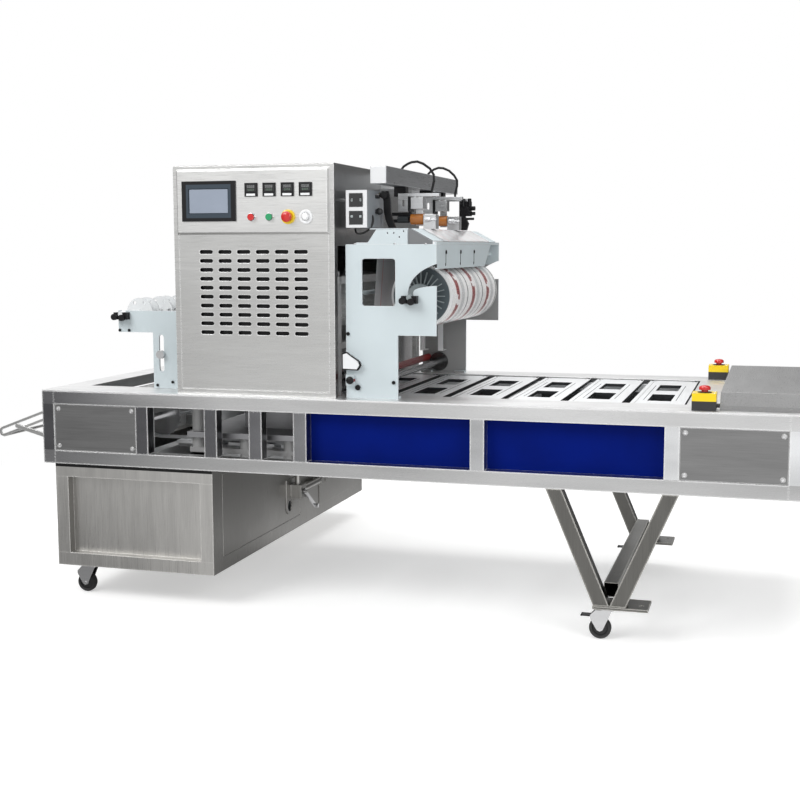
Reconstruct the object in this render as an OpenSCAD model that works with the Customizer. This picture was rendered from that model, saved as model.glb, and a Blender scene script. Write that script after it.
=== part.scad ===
// Inline tray packaging machine: index conveyor, vacuum sealing press, printed film unit and lower pump cabinet.
// X runs along the conveyor from its exit on the left, Y from the operator's side to the back, Z up.

/* [Table] */
// Length of the table frame
table_len = 2772; // [2700:4:2860]
// Height of the table top above the floor
table_top = 800; // [780:2:860]
// Height of the table frame
beam_h = 280; // [276:2:300]
// Side of the square frame tubes
tube = 50; // [44:1:52]
// Wall of the frame tubes
tube_wall = 2; // [1.5:0.5:4]
// Thickness of the deck sheets
deck_t = 3; // [2:0.5:4]
// Width of the deck strip on the operator's side
deck_front = 184; // [180:1:190]
// Width of the deck strip at the back
deck_rear = 152; // [148:1:170]

/* [Conveyor] */
// Distance from one tray carrier to the next
carrier_pitch = 215; // [205:1:222]
// Length of one carrier along the conveyor
carrier_len = 187; // [170:1:195]
// Width of the carriers across the conveyor
carrier_w = 816; // [800:2:820]
// Thickness of the carrier plates
carrier_t = 12; // [8:1:14]
// Length of a tray window along the conveyor
window_len = 82; // [60:1:100]
// Width of a tray window across the conveyor
window_w = 206; // [150:4:222]
// Pitch of the drive chain
chain_pitch = 25.4; // [24:0.2:26]
// Teeth of each sprocket
sprocket_teeth = 20; // [18:1:20]

/* [Cabinet] */
// Width of the sealing cabinet
cab_w = 618; // [600:2:640]
// Distance of the cabinet from both edges of the table
cab_set = 30; // [28:1:35]
// Height of the sealing cabinet above the table
cab_h = 828; // [800:2:900]
// Wall of the sheet housings
sheet = 2; // [1.5:0.5:3]
// Columns of cooling slots
vent_cols = 6; // [4:1:7]
// Rows of cooling slots
vent_rows = 10; // [6:1:11]
// Length of one cooling slot
vent_len = 52; // [40:1:60]
// Height of one cooling slot
vent_h = 14; // [8:1:18]
// Width of the touch screen
screen_w = 209; // [180:1:215]
// Height of the touch screen
screen_h = 143; // [120:1:160]
// Side of one temperature controller
controller = 48; // [44:1:52]

/* [Film unit] */
// Height of the film side plates above the table
film_plate_h = 545; // [535:1:560]
// Thickness of the film side plates
film_plate_t = 8; // [6:1:10]
// Outer radius of the film roll
roll_r = 114; // [90:1:116]
// Width of the film
film_w = 740; // [700:5:745]
// Radius of the film shaft
shaft_r = 9.9; // [8:0.1:12]
// Ribs on the roll's clamping cone
core_ribs = 24; // [12:1:30]

/* [Stand] */
// Width of the lower cabinet
low_w = 647; // [630:1:660]
// Depth of the lower cabinet
low_d = 1748; // [1700:2:1800]
// Top of the foot plates above the floor
foot_z = 126; // [120:1:136]
// Lean of the V legs from upright
leg_lean = 23; // [21:0.5:23.5]
// Radius of the castor wheels
wheel_r = 38; // [34:1:40]
// Width of the castor wheels
wheel_w = 26; // [20:1:30]
// Tilt of the discharge slide
slide_tilt = 20.6; // [18:0.2:22]

/* [Hidden] */
$fn = 48;

// Shared clearances and the overrun of every cut
seam = 0.2;
rest_gap = 0.3;
fit = 0.05;
over = 2;
panel_gap = 0.6;

// Table frame, its right end carries the hood, the stops and the legs
carrier_side_gap = 4;
carrier_y = deck_front + carrier_side_gap;
carrier_far = carrier_y + carrier_w;
table_w = carrier_far + carrier_side_gap + deck_rear;
frame_top = table_top - deck_t;
frame_bottom = table_top - beam_h;
cab_x = 554;
post_in = [137.1, 142, 318.9, 491];
last_post_in = 419.8;
mid_post_share = 0.4974;
post_3 = cab_x + post_in[3];
post_5 = table_len - last_post_in;
post_list = [cab_x - post_in[0], cab_x + post_in[1], cab_x + post_in[2], post_3,
             post_3 + mid_post_share * (post_5 - post_3), post_5];
posts = len(post_list);
function post_x(i) = post_list[i];

// Conveyor
carrier_end_in = 398;
carrier_right = table_len - carrier_end_in;
carrier_gap_below_deck = 2;
carrier_top = frame_top - carrier_gap_below_deck;
carrier_bottom = carrier_top - carrier_t;
idler_x = 400;
drive_in = 172;
drive_x = table_len - drive_in;
carrier_first_in = 60;
carrier_count = floor((carrier_right - carrier_len - idler_x - carrier_first_in) / carrier_pitch) + 1;
carrier_left = carrier_right - carrier_len - carrier_pitch * (carrier_count - 1);
window_gap = 120;
window_mid_share = 0.474;
window_mid = carrier_y + window_mid_share * carrier_w;
chain_h = 12;
chain_w = 14;
chain_plate = 2.5;
chain_core = 7;
chain_inset = 6;
lug_len = 60;
lug_h = 4.7;
sprocket_r = chain_pitch / (2 * sin(180 / sprocket_teeth));
sprocket_t = 6;
chain_top_z = carrier_bottom - lug_h - rest_gap - chain_h / 2;
sprocket_z = chain_top_z - sprocket_r;
chain_low_z = chain_top_z - 2 * sprocket_r;
return_top = chain_low_z - chain_h / 2 - rest_gap - lug_h;
return_bottom = return_top - carrier_t;
drive_shaft_r = 15;
chain_y = [carrier_y + chain_inset, carrier_far - chain_inset - chain_w];
rail_w = 30;
rail_inset = 27;
rail_y = [carrier_y + rail_inset, carrier_far - rail_inset - rail_w];
rail_h = 30;
rail_lead = 60;
rail_x0 = idler_x + rail_lead;
rail_x1 = drive_x - sprocket_r;
bearing_w = 80;
bearing_t = 8;

// Sealing cabinet and press
cab_y = cab_set;
cab_y1 = table_w - cab_set;
cab_d = cab_y1 - cab_y;
cab_x1 = cab_x + cab_w;
cab_top = table_top + cab_h;
tunnel_side = 32;
tunnel_right_low = 288;
tunnel_left_low = 508;
panel_side = 14;
panel_low_in = 247;
panel_high_in = 13;
panel_proud = 12;
panel_bevel = 8;
panel_y = cab_y - panel_proud;
vent_pitch_x = 73.2;
vent_pitch_z = 32.3;
vent_first_x = 126.2;
vent_first_in = 309;
column_r = 25;
column_in_y = [100, 68];
column_in_x = [36, 37];
column_y = [cab_y + column_in_y[0], cab_y1 - column_in_y[1]];
column_x = [cab_x + column_in_x[0], cab_x1 - column_in_x[1]];
column_h = 430;
column_top = table_top + column_h;
base_bar_h = 18;
base_bar_z = frame_bottom + tube + seam;
head_t = 26;
head_z = column_top - head_t;
mould_side_in = [4, 20];
mould_rail_gap = 8;
mould_x0 = post_x(1) + tube / 2 + mould_side_in[0];
mould_x1 = post_x(3) - mould_side_in[1];
mould_y0 = rail_y[0] + rail_w + mould_rail_gap;
mould_y1 = rail_y[1] - mould_rail_gap;
upper_mould_lift = 50;
upper_mould_z = table_top + upper_mould_lift;
upper_mould_h = 120;
platform_t = 20;
platform_lift = 14;
platform_z = chain_low_z + chain_h / 2 + platform_lift;
lower_mould_drop = 51;
lower_mould_top = carrier_bottom - lower_mould_drop;
press_bolster_t = 22;
cylinder_r = 70;
rod_r = 20;
mould_wall = 18;

// Film unit
film_gap = 29;
film_x = cab_x1 + film_gap;
film_len = 332;
film_x1 = film_x + film_len;
film_step = [192, 226];
film_step_x = film_x + film_step[0];
film_step_z = table_top + film_step[1];
film_set = [66, 75];
film_y = [film_set[0], table_w - film_set[1]];
film_top = table_top + film_plate_h;
roll_in = 93;
roll_low = 185;
roll_x = film_x1 - roll_in;
roll_z = film_top - roll_low;
roll_shift = 3.5;
roll_y0 = (film_y[0] + film_plate_t + film_y[1] - film_w) / 2 + roll_shift;
roll_y1 = roll_y0 + film_w;
seat_r = shaft_r + fit;
lip_rise = 19;
lip_z = roll_z + lip_rise;
core_r = 40;
web_t = 0.5;
coder_rise = 55;
coder_z = film_top + coder_rise;
coder_in = [87, 239];
coder_x0 = film_x + coder_in[0];
coder_x1 = film_x + coder_in[1];
ramp_in = 14;
ramp_x1 = film_x1 - ramp_in;
coder_sheet = 3;
lip_plate_t = 8;
lip_plate_x = film_x1 - lip_plate_t;
lip_plate_h = 86;
lip_plate_z = film_top - lip_plate_h;
red_at = [25, 64];
red_x = film_x + red_at[0];
red_z = table_top + red_at[1];
red_r = 14;
chrome_at = [77, 46];
chrome_x = film_x + chrome_at[0];
chrome_z = table_top + chrome_at[1];
chrome_r = 13;
disc_r = 40;
roller_pin_r = 8;
beam_in = 93;
beam_x = film_x + beam_in;
beam_rise = 156;
beam_z = coder_z + beam_rise;
beam_w = 58;
beam_section_h = 60;
unit_in = 284;
unit_pitch = 350;
unit_y = [film_y[0] + unit_in, film_y[0] + unit_in + unit_pitch];
box_in = 3;
box_x = film_x + box_in;
box_w = 78;
box_d = 191;
box_z = coder_z + box_in;
box_h = 131;

// Rewinder
rewind_len = 313;
rewind_x = cab_x - rewind_len;
rewind_h = 296;
rewind_top = table_top + rewind_h;
rewind_arm_h = 83;
rewind_arm_z = rewind_top - rewind_arm_h;
rewind_column_in = 145;
rewind_column_x = rewind_x + rewind_column_in;
rewind_set = [16, 12];
rewind_y = [deck_front - rewind_set[0], carrier_far + rewind_set[1]];
reel_in = [21, 13];
reel_x = rewind_x + reel_in[0];
reel_z = rewind_top - reel_in[1];
hub_ring_r = 56;
slot_in = 180;
slot_x = rewind_x + slot_in;
slot_rise = [65, 205];
slot_z0 = table_top + slot_rise[0];
slot_z1 = table_top + slot_rise[1];
slot_w = 20;
dancer_rise = 130;
dancer_z = table_top + dancer_rise;
dancer_r = 12;

// Lower cabinet and stand
low_x = 51;
low_x1 = low_x + low_w;
low_rear_d = 671;
low_front_d = low_d - low_rear_d;
foot_t = 10;
foot_len = 187;
foot_w = 125;
foot_hole_r = 7;
foot_hole_in = 26;
foot_hole_y = 38;
foot_z0 = foot_z - foot_t;
leg_in = 615.5;
leg_x = table_len - leg_in;
leg_beam_h = 20;
caster_plate = 90;
caster_plate_t = 4;
caster_head_t = 9;
caster_trail = 26;
caster_in = [89, 8.5];
caster_x = [low_x + caster_in[0], leg_x - caster_in[1]];
door_z_in = [51, 29];
door_z0 = foot_z + door_z_in[0];
door_z1 = frame_bottom - door_z_in[1];
door_t = 3;

// Discharge slide
slide_pivot_x = tube / 2;
slide_drop = 30;
slide_pivot_z = frame_top - tube - slide_drop;
slide_set = [100, 105];
slide_y = [slide_set[0], table_w - slide_set[1]];
slide_arm_t = 5;
slide_arm_w = 38;
slide_arm_len = 285;
slide_pin_r = 6;
slide_tip_x = slide_pivot_x - slide_arm_len * cos(slide_tilt) - slide_arm_w / 2;

// Mushroom buttons, the one on the control panel is the front of the machine
mushroom_r = 19;
mushroom_h = 15;
mushroom_lift = 9;
estop_travel = 5;
collar_t = 6;
front_y = panel_y - collar_t - mushroom_lift - mushroom_h;
origin_x = (slide_tip_x + table_len) / 2;
origin_y = (front_y + low_d) / 2;

module datum() {
    translate([-origin_x, -origin_y, 0]) children();
}

module block(lo, size) {
    translate(lo) cube(size);
}

module rod_y(x, y0, y1, z, r) {
    translate([x, y1, z]) rotate([90, 0, 0]) cylinder(h = y1 - y0, r = r);
}

module rod_x(x0, x1, y, z, r) {
    translate([x0, y, z]) rotate([0, 90, 0]) cylinder(h = x1 - x0, r = r);
}

module rod_z(x, y, z0, z1, r) {
    translate([x, y, z0]) cylinder(h = z1 - z0, r = r);
}

// Outline drawn in X and Z, extruded from y0 to y1
module slab_y(y0, y1) {
    translate([0, y1, 0]) rotate([90, 0, 0]) linear_extrude(height = y1 - y0) children();
}

// Outline drawn in Y and Z, extruded from x0 to x1
module slab_x(x0, x1) {
    translate([x0, 0, 0]) rotate([90, 0, 90]) linear_extrude(height = x1 - x0) children();
}

module square_tube(size, axis) {
    inner = [for (k = [0 : 2]) k == axis ? size[k] + 2 * over : size[k] - 2 * tube_wall];
    shift = [for (k = [0 : 2]) k == axis ? -over : tube_wall];
    difference() {
        cube(size);
        translate(shift) cube(inner);
    }
}

// Upright tube with a closed foot
module end_post(size) {
    difference() {
        cube(size);
        translate([tube_wall, tube_wall, tube_wall])
            cube([size[0] - 2 * tube_wall, size[1] - 2 * tube_wall, size[2]]);
    }
}

module obround(len, w) {
    square([len - w, w], center = true);
    for (s = [-1, 1])
        translate([s * (len - w) / 2, 0]) circle(d = w);
}

function bezier(p, q, r, n) =
    [for (k = [0 : n]) let (t = k / n) (1 - t) * (1 - t) * p + 2 * t * (1 - t) * q + t * t * r];

// Table
module table_frame() {
    color("gainsboro") datum() {
        for (y = [0, table_w - tube]) {
            for (z = [frame_bottom, frame_top - tube])
                translate([tube + seam, y, z]) square_tube([table_len - 2 * tube - 2 * seam, tube, tube], 0);
            for (x = [0, table_len - tube])
                translate([x, y, frame_bottom]) end_post([tube, tube, beam_h - deck_t - seam]);
            for (i = [0 : posts - 1])
                translate([post_x(i) - tube / 2, y, frame_bottom + tube + seam])
                    square_tube([tube, tube, beam_h - deck_t - 2 * tube - 2 * seam], 2);
        }
        for (x = [0, table_len - tube], z = [frame_bottom, frame_top - tube])
            translate([x, tube + seam, z]) square_tube([tube, table_w - 2 * tube - 2 * seam, tube], 1);
    }
}

module column_holes(z) {
    for (x = column_x, y = column_y)
        rod_z(x, y, z - over, z + deck_t + over, column_r + 5 * seam);
}

deck_left_x = 105;
deck_end_gap = 10;
deck_right_x = carrier_right + deck_end_gap;
module deck_plates() {
    color("whitesmoke") datum() {
        difference() {
            block([0, 0, frame_top], [table_len, deck_front, deck_t]);
            column_holes(frame_top);
        }
        difference() {
            block([0, table_w - deck_rear, frame_top], [table_len, deck_rear, deck_t]);
            column_holes(frame_top);
        }
        for (x = [[0, deck_left_x], [deck_right_x, table_len]])
            block([x[0], deck_front + seam, frame_top],
                  [x[1] - x[0], table_w - deck_rear - deck_front - 2 * seam, deck_t]);
    }
}

cover_t = 3;
cover_recess = 3;
cover_screw_r = 7;
cover_screw_h = 3.5;
cover_screw_in = 17;
module cover_plate(x0, x1, y, out) {
    z0 = frame_bottom + tube + panel_gap;
    z1 = frame_top - tube - panel_gap;
    block([x0 + panel_gap, y, z0], [x1 - x0 - 2 * panel_gap, cover_t, z1 - z0]);
    for (x = [x0 + cover_screw_in, x1 - cover_screw_in], z = [z0 + cover_screw_in, z1 - cover_screw_in])
        rod_y(x, out < 0 ? y - cover_screw_h : y + cover_t, out < 0 ? y : y + cover_t + cover_screw_h, z,
              cover_screw_r);
}

module cover_plates() {
    bays = [[tube, post_x(0) - tube / 2], [post_x(posts - 1) + tube / 2, table_len - tube]];
    color("darkgray") datum() for (bay = bays) {
        cover_plate(bay[0], bay[1], cover_recess, -1);
        cover_plate(bay[0], bay[1], table_w - cover_recess - cover_t, 1);
    }
}

panel_lap = 10;
module blue_panels() {
    z0 = frame_bottom + tube - panel_lap;
    color("mediumblue") datum()
        for (i = [3, 4], y = [tube + seam, table_w - tube - seam - sheet])
            block([post_x(i) + tube / 2 - panel_lap, y, z0],
                  [post_x(i + 1) - post_x(i) - tube + 2 * panel_lap, sheet, frame_top - tube + panel_lap - z0]);
}

// Conveyor
module sprocket(x, y, turn) {
    tooth_shares = [0.22, 0.36, 0.14];
    tooth_h = chain_pitch * tooth_shares[0];
    tooth_root = chain_pitch * tooth_shares[1];
    tooth_tip = chain_pitch * tooth_shares[2];
    translate([x, y + sprocket_t, sprocket_z]) rotate([90, 0, 0]) linear_extrude(height = sprocket_t) {
        circle(r = sprocket_r - chain_h / 3);
        for (k = [0 : sprocket_teeth - 1])
            rotate(turn + k * 360 / sprocket_teeth) translate([sprocket_r - chain_h / 2, 0])
                polygon([[-tooth_h, -tooth_root / 2], [0, -tooth_root / 2], [tooth_h, -tooth_tip / 2],
                         [tooth_h, tooth_tip / 2], [0, tooth_root / 2], [-tooth_h, tooth_root / 2]]);
    }
}

module sprocket_shaft(x) {
    for (y = chain_y)
        sprocket(x, y + (chain_w - sprocket_t) / 2, 0);
    rod_y(x, tube + seam + fit, table_w - tube - seam - fit, sprocket_z, drive_shaft_r);
}

module drive_shaft() {
    color("silver") datum() sprocket_shaft(drive_x);
}

module idler_shaft() {
    color("silver") datum() sprocket_shaft(idler_x);
}

// One carrier plate with two tray windows, drawn from its left edge, chain lugs on the given side
module carrier(x, z, lug_z) {
    screw_r = 4.5;
    screw_in = 20;
    groove_w = 2;
    groove_d = 1;
    groove_x = 16;
    face_z = lug_z < z ? z + carrier_t : z;
    difference() {
        block([x, carrier_y, z], [carrier_len, carrier_w, carrier_t]);
        for (s = [-1, 1])
            block([x + (carrier_len - window_len) / 2, window_mid + s * (window_w + window_gap) / 2 - window_w / 2,
                   z - over], [window_len, window_w, carrier_t + 2 * over]);
        for (dx = [screw_in, carrier_len - screw_in], y = [carrier_y + screw_in, carrier_far - screw_in])
            rod_z(x + dx, y, face_z - screw_r, face_z + screw_r, screw_r);
        block([x + groove_x, carrier_y + 2 * screw_in, face_z - groove_d],
              [groove_w, carrier_w - 4 * screw_in, 2 * groove_d]);
    }
    for (y = chain_y)
        block([x + (carrier_len - lug_len) / 2, y, lug_z], [lug_len, chain_w, lug_h]);
}

module carriers_top() {
    color("white") datum()
        for (i = [0 : carrier_count - 1])
            carrier(carrier_left + i * carrier_pitch, carrier_bottom, carrier_bottom - lug_h);
}

module carriers_return() {
    color("white") datum()
        for (i = [0 : carrier_count - 1])
            carrier(carrier_left + i * carrier_pitch, return_bottom, return_top);
}

// Chain as two rows of link plates round both sprockets, with its rollers as a core on the straight runs
module chain_loop(y) {
    gap = chain_w - 2 * chain_plate;
    for (dy = [0, chain_w - chain_plate])
        slab_y(y + dy, y + dy + chain_plate) difference() {
            chain_outline(sprocket_r + chain_h / 2);
            chain_outline(sprocket_r - chain_h / 2);
            for (x = [idler_x, drive_x])
                translate([x - seam / 2, sprocket_z - 2 * sprocket_r]) square([seam, 4 * sprocket_r]);
        }
    for (z = [chain_top_z, chain_low_z])
        block([idler_x + sprocket_r, y + chain_plate, z - chain_core / 2],
              [drive_x - idler_x - 2 * sprocket_r, gap, chain_core]);
}

module chain_outline(r) {
    for (x = [idler_x, drive_x])
        translate([x, sprocket_z]) circle(r = r);
    translate([idler_x, sprocket_z - r]) square([drive_x - idler_x, 2 * r]);
}

module bearing_plate(x, y) {
    difference() {
        block([x - bearing_w / 2, y, frame_bottom + tube / 2],
              [bearing_w, bearing_t, frame_top - frame_bottom - tube]);
        rod_y(x, y - over, y + bearing_t + over, sprocket_z, drive_shaft_r + fit);
    }
}

slide_bracket_w = 36;
module slide_bracket(y) {
    top = frame_top - tube - seam;
    low = frame_bottom + tube + seam;
    difference() {
        block([slide_pivot_x - slide_bracket_w / 2, y, slide_pivot_z - slide_bracket_w / 2],
              [slide_bracket_w, slide_arm_t, top - slide_pivot_z + slide_bracket_w / 2]);
        rod_y(slide_pivot_x, y - over, y + slide_arm_t + over, slide_pivot_z, slide_pin_r + fit);
    }
    difference() {
        block([slide_pivot_x - slide_bracket_w / 2, y, low], [slide_bracket_w, slide_arm_t, strut_foot_z + slide_pin_r * 2 - low]);
        rod_y(slide_pivot_x, y - over, y + slide_arm_t + over, strut_foot_z, slide_pin_r + fit);
    }
}

module conveyor_bed() {
    inner = table_w - 2 * tube - 2 * seam;
    color("darkgray") datum() {
        for (y = rail_y) {
            block([rail_x0, y, carrier_bottom - rest_gap - rail_h], [rail_x1 - rail_x0, rail_w, rail_h]);
            block([rail_x0, y, frame_bottom + tube + seam],
                  [rail_x1 - rail_x0, rail_w, return_bottom - rest_gap - frame_bottom - tube - seam]);
        }
        for (i = [0 : posts - 1]) {
            side = i < 3 ? 0 : sheet + seam;
            low_z = carrier_bottom - rest_gap - rail_h - seam - tube;
            for (z = i < 4 && i != 1 ? [frame_bottom] : [frame_bottom, low_z])
                translate([post_x(i) - tube / 2, tube + seam + side, z]) square_tube([tube, inner - 2 * side, tube], 1);
        }
        for (x = [idler_x, drive_x], y = [tube + seam, table_w - tube - seam - bearing_t])
            bearing_plate(x, y);
        for (y = chain_y)
            chain_loop(y);
        for (y = [slide_y[0] - slide_arm_t - rest_gap, slide_y[1] + slide_arm_t + rest_gap])
            slide_bracket(y);
    }
}

motor_r = 45;
motor_core_share = 0.85;
motor_len = 150;
motor_fins = 7;
motor_fin_pitch = 18;
motor_fin_t = 8;
gear_w = 100;
gear_d = 78;
module drive_motor() {
    y0 = tube + seam + bearing_t + seam;
    x0 = drive_x - gear_w / 2 - motor_len;
    color("steelblue") datum() {
        difference() {
            union() {
                block([drive_x - gear_w / 2, y0, sprocket_z - gear_w / 2], [gear_w, gear_d, gear_w]);
                rod_x(x0, drive_x, y0 + gear_d / 2, sprocket_z, motor_r * motor_core_share);
            }
            rod_y(drive_x, y0 - over, y0 + gear_d + over, sprocket_z, drive_shaft_r + fit);
        }
        for (k = [0 : motor_fins - 1])
            difference() {
                rod_x(x0 + k * motor_fin_pitch, x0 + k * motor_fin_pitch + motor_fin_t,
                      y0 + gear_d / 2, sprocket_z, motor_r);
                rod_x(x0 + k * motor_fin_pitch - over, drive_x - gear_w / 2, y0 + gear_d / 2,
                      sprocket_z, motor_r * motor_core_share);
            }
    }
}

hood_len = 272;
hood_x0 = table_len - hood_len;
hood_set = 53;
hood_y = [hood_set, table_w - hood_set];
hood_lip = 17;
hood_h = 58;
hood_slope = 32;
hood_screw_r = 4;
module hood_outline(inset) {
    polygon([[hood_y[0] + inset, table_top + seam], [hood_y[0] + inset, table_top + hood_lip],
             [hood_y[0] + hood_slope + inset, table_top + hood_h - inset],
             [hood_y[1] - hood_slope - inset, table_top + hood_h - inset],
             [hood_y[1] - inset, table_top + hood_lip], [hood_y[1] - inset, table_top + seam]]);
}

module drive_hood() {
    color("gray") datum() {
        difference() {
            slab_x(hood_x0, table_len - seam) hood_outline(0);
            slab_x(hood_x0 + sheet, table_len - seam - sheet) difference() {
                hood_outline(sheet);
                translate([0, table_top]) square([table_w, seam]);
            }
            block([hood_x0 + sheet, hood_y[0] + sheet, table_top - over],
                  [table_len - hood_x0 - 2 * sheet - seam, hood_y[1] - hood_y[0] - 2 * sheet, 2 * over]);
        }
        for (x = [hood_x0 + hood_slope : hood_slope * 3 : table_len - hood_slope])
            rod_y(x, hood_y[0] - sheet, hood_y[0], table_top + hood_lip / 2, hood_screw_r);
    }
}

// Emergency stop stations at the infeed
estop_in = 323;
estop_x = table_len - estop_in;
estop_w = 78;
estop_set = [69, 65];
estop_centre_y = [estop_set[0], table_w - estop_set[1]];
estop_box_h = 57;
estop_hole_r = 11;
estop_sink = 20;
module estop_boxes() {
    gland_r = 7;
    gland_len = 11;
    color("dimgray") datum() for (y = estop_centre_y) {
        difference() {
            block([estop_x - estop_w / 2, y - estop_w / 2, table_top], [estop_w, estop_w, estop_box_h]);
            rod_z(estop_x, y, table_top + estop_box_h - estop_sink, table_top + estop_box_h + over,
                  estop_hole_r + fit);
        }
        rod_x(estop_x + estop_w / 2, estop_x + estop_w / 2 + gland_len, y, table_top + estop_box_h / 4, gland_r);
    }
}

// Mushroom head with its stem, standing on the plane that it is pushed towards
module mushroom(head_r, stem_r, stem_len) {
    rotate_extrude() polygon(concat(
        [[0, -stem_len], [stem_r, -stem_len], [stem_r, mushroom_lift], [head_r, mushroom_lift]],
        bezier([head_r, mushroom_lift + mushroom_h / 2], [head_r * 0.9, mushroom_lift + mushroom_h],
               [0, mushroom_lift + mushroom_h], 8)));
}

module estop_button(y) {
    color("red") datum()
        translate([estop_x, y, table_top + estop_box_h])
            mushroom(mushroom_r, estop_hole_r, estop_sink - estop_travel - over);
}

module estop_button_front() {
    estop_button(estop_centre_y[0]);
}

module estop_button_rear() {
    estop_button(estop_centre_y[1]);
}

// Lower cabinet
low_top = frame_bottom - seam;
front_recess = 34;
groove_in = 35;
groove_past_port = 125;
port_y = 760;
port_z = 240;
port_r = 35;
rear_y0 = low_front_d + tube / 2;
hinge_r = 5;
hinge_x = low_x1 + seam + sheet + 2 * rest_gap + hinge_r;
hinge_in = 38;
hinge_y = low_d - hinge_in;
hinge_pin_r = 2.5;
hinge_len = 40;
knuckle_share = 0.3;
hinge_gap = 0.3;
hinge_set = [90, 110];
hinge_z = [foot_z + hinge_set[0], frame_bottom - hinge_set[1]];
rear_door_in = [24, 7, 46];
rear_door_y0 = rear_y0 + rear_door_in[0];
rear_door_y1 = hinge_y - rear_door_in[1];
rear_door_z0 = foot_z + rear_door_in[2];
rear_door_z1 = frame_bottom - rear_door_in[2];
door_lap = 12;
module lower_cabinet() {
    long = low_d - 2 * tube - 2 * seam;
    post_z = foot_z + tube + seam;
    post_h = low_top - foot_z - 2 * tube - 2 * seam;
    color("dimgray") datum() {
        for (z = [foot_z, low_top - tube]) {
            for (x = [low_x, low_x1 - tube])
                translate([x, tube + seam, z]) square_tube([tube, long, tube], 1);
            for (y = [0, low_d - tube])
                translate([low_x, y, z]) square_tube([low_w, tube, tube], 0);
            translate([low_x + tube + seam, low_front_d - tube / 2, z])
                square_tube([low_w - 2 * tube - 2 * seam, tube, tube], 0);
        }
        for (x = [low_x, low_x1 - tube], y = [0, low_front_d - tube / 2, low_d - tube])
            translate([x, y, post_z]) square_tube([tube, tube, post_h], 2);
        // Recessed front, rear, left and right skins, top of the rear bay and the floor
        block([low_x + tube + seam, front_recess, post_z], [low_w - 2 * tube - 2 * seam, sheet, post_h]);
        block([low_x + tube + seam, low_d - sheet - seam, post_z], [low_w - 2 * tube - 2 * seam, sheet, post_h]);
        block([low_x - sheet - seam, 0, foot_z], [sheet, low_d, low_top - foot_z]);
        difference() {
            block([low_x1 + seam, 0, foot_z], [sheet, low_front_d - seam, low_top - foot_z]);
            side_groove(tube + groove_in, port_y + groove_past_port);
            rod_x(low_x1 - over, low_x1 + sheet + over, port_y, port_z, port_r - door_lap);
        }
        // Skin round the pump door in four strips
        for (z = [[foot_z, rear_door_z0 + door_lap], [rear_door_z1 - door_lap, low_top]])
            block([low_x1 + seam, low_front_d + seam, z[0]], [sheet, low_d - low_front_d - seam, z[1] - z[0]]);
        for (y = [[low_front_d + seam, rear_door_y0 + door_lap], [rear_door_y1 - door_lap, low_d]])
            block([low_x1 + seam, y[0], rear_door_z0 + door_lap + seam],
                  [sheet, y[1] - y[0], rear_door_z1 - rear_door_z0 - 2 * door_lap - 2 * seam]);
        difference() {
            rod_x(low_x1 + sheet + seam, low_x1 + 3 * sheet, port_y, port_z, port_r);
            rod_x(low_x1 - over, low_x1 + 3 * sheet + over, port_y, port_z, port_r - door_lap);
        }
        block([low_x, table_w, low_top + seam], [low_w, low_d - table_w, sheet]);
        block([low_x + tube + seam, tube + seam, foot_z + tube - sheet], [low_w - 2 * tube - 2 * seam,
               low_front_d - 1.5 * tube - 2 * seam, sheet]);
        block([low_x + tube + seam, low_front_d + tube / 2 + seam, foot_z + tube - sheet],
              [low_w - 2 * tube - 2 * seam, low_d - low_front_d - 1.5 * tube - 2 * seam, sheet]);
        for (z = hinge_z) {
            for (dz = [0, hinge_len * (1 - knuckle_share)]) {
                rod_z(hinge_x, hinge_y, z + dz, z + dz + hinge_len * knuckle_share, hinge_r);
                block([low_x1 + sheet + seam - over / 2, hinge_y, z + dz],
                      [hinge_x - low_x1 - sheet, hinge_in - over, hinge_len * knuckle_share]);
            }
            rod_z(hinge_x, hinge_y, z, z + hinge_len, hinge_pin_r);
        }
        vacuum_valve();
        for (x = [caster_x[0] - caster_plate / 2], y = low_caster_y)
            block([x, y - caster_plate / 2, foot_z0 - caster_plate_t - seam],
                  [caster_plate, caster_plate, foot_t + caster_plate_t]);
    }
}

groove = 1;
module side_groove(y0, y1) {
    z0 = door_z0;
    z1 = door_z1;
    translate([low_x1 + seam + sheet - groove, 0, 0]) {
        for (y = [y0, y1])
            block([0, y, z0], [2 * groove, 2 * groove, z1 - z0]);
        for (z = [z0, z1])
            block([0, y0, z], [2 * groove, y1 - y0 + 2 * groove, 2 * groove]);
    }
}

module pump_door() {
    x = low_x1 + sheet + seam + rest_gap;
    pull_w = 14;
    pull_h = 90;
    pull_out = 22;
    color("dimgray") datum() {
        block([x, rear_door_y0, rear_door_z0], [door_t, rear_door_y1 - rear_door_y0, rear_door_z1 - rear_door_z0]);
        for (z = hinge_z) {
            z0 = z + hinge_len * knuckle_share + hinge_gap;
            z1 = z + hinge_len * (1 - knuckle_share) - hinge_gap;
            difference() {
                union() {
                    rod_z(hinge_x, hinge_y, z0, z1, hinge_r);
                    block([x, rear_door_y1 - over, z0], [door_t, hinge_y - rear_door_y1 + over, z1 - z0]);
                }
                rod_z(hinge_x, hinge_y, z, z + hinge_len, hinge_pin_r + fit);
            }
        }
        difference() {
            block([x + door_t, rear_door_y0 + 2 * pull_w, (rear_door_z0 + rear_door_z1 - pull_h) / 2],
                  [pull_out, pull_w, pull_h]);
            block([x + door_t - over, rear_door_y0 + 2 * pull_w - over,
                   (rear_door_z0 + rear_door_z1 - pull_h) / 2 + pull_w],
                  [pull_out - pull_w / 2 + over, pull_w + 2 * over, pull_h - 2 * pull_w]);
        }
    }
}

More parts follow.
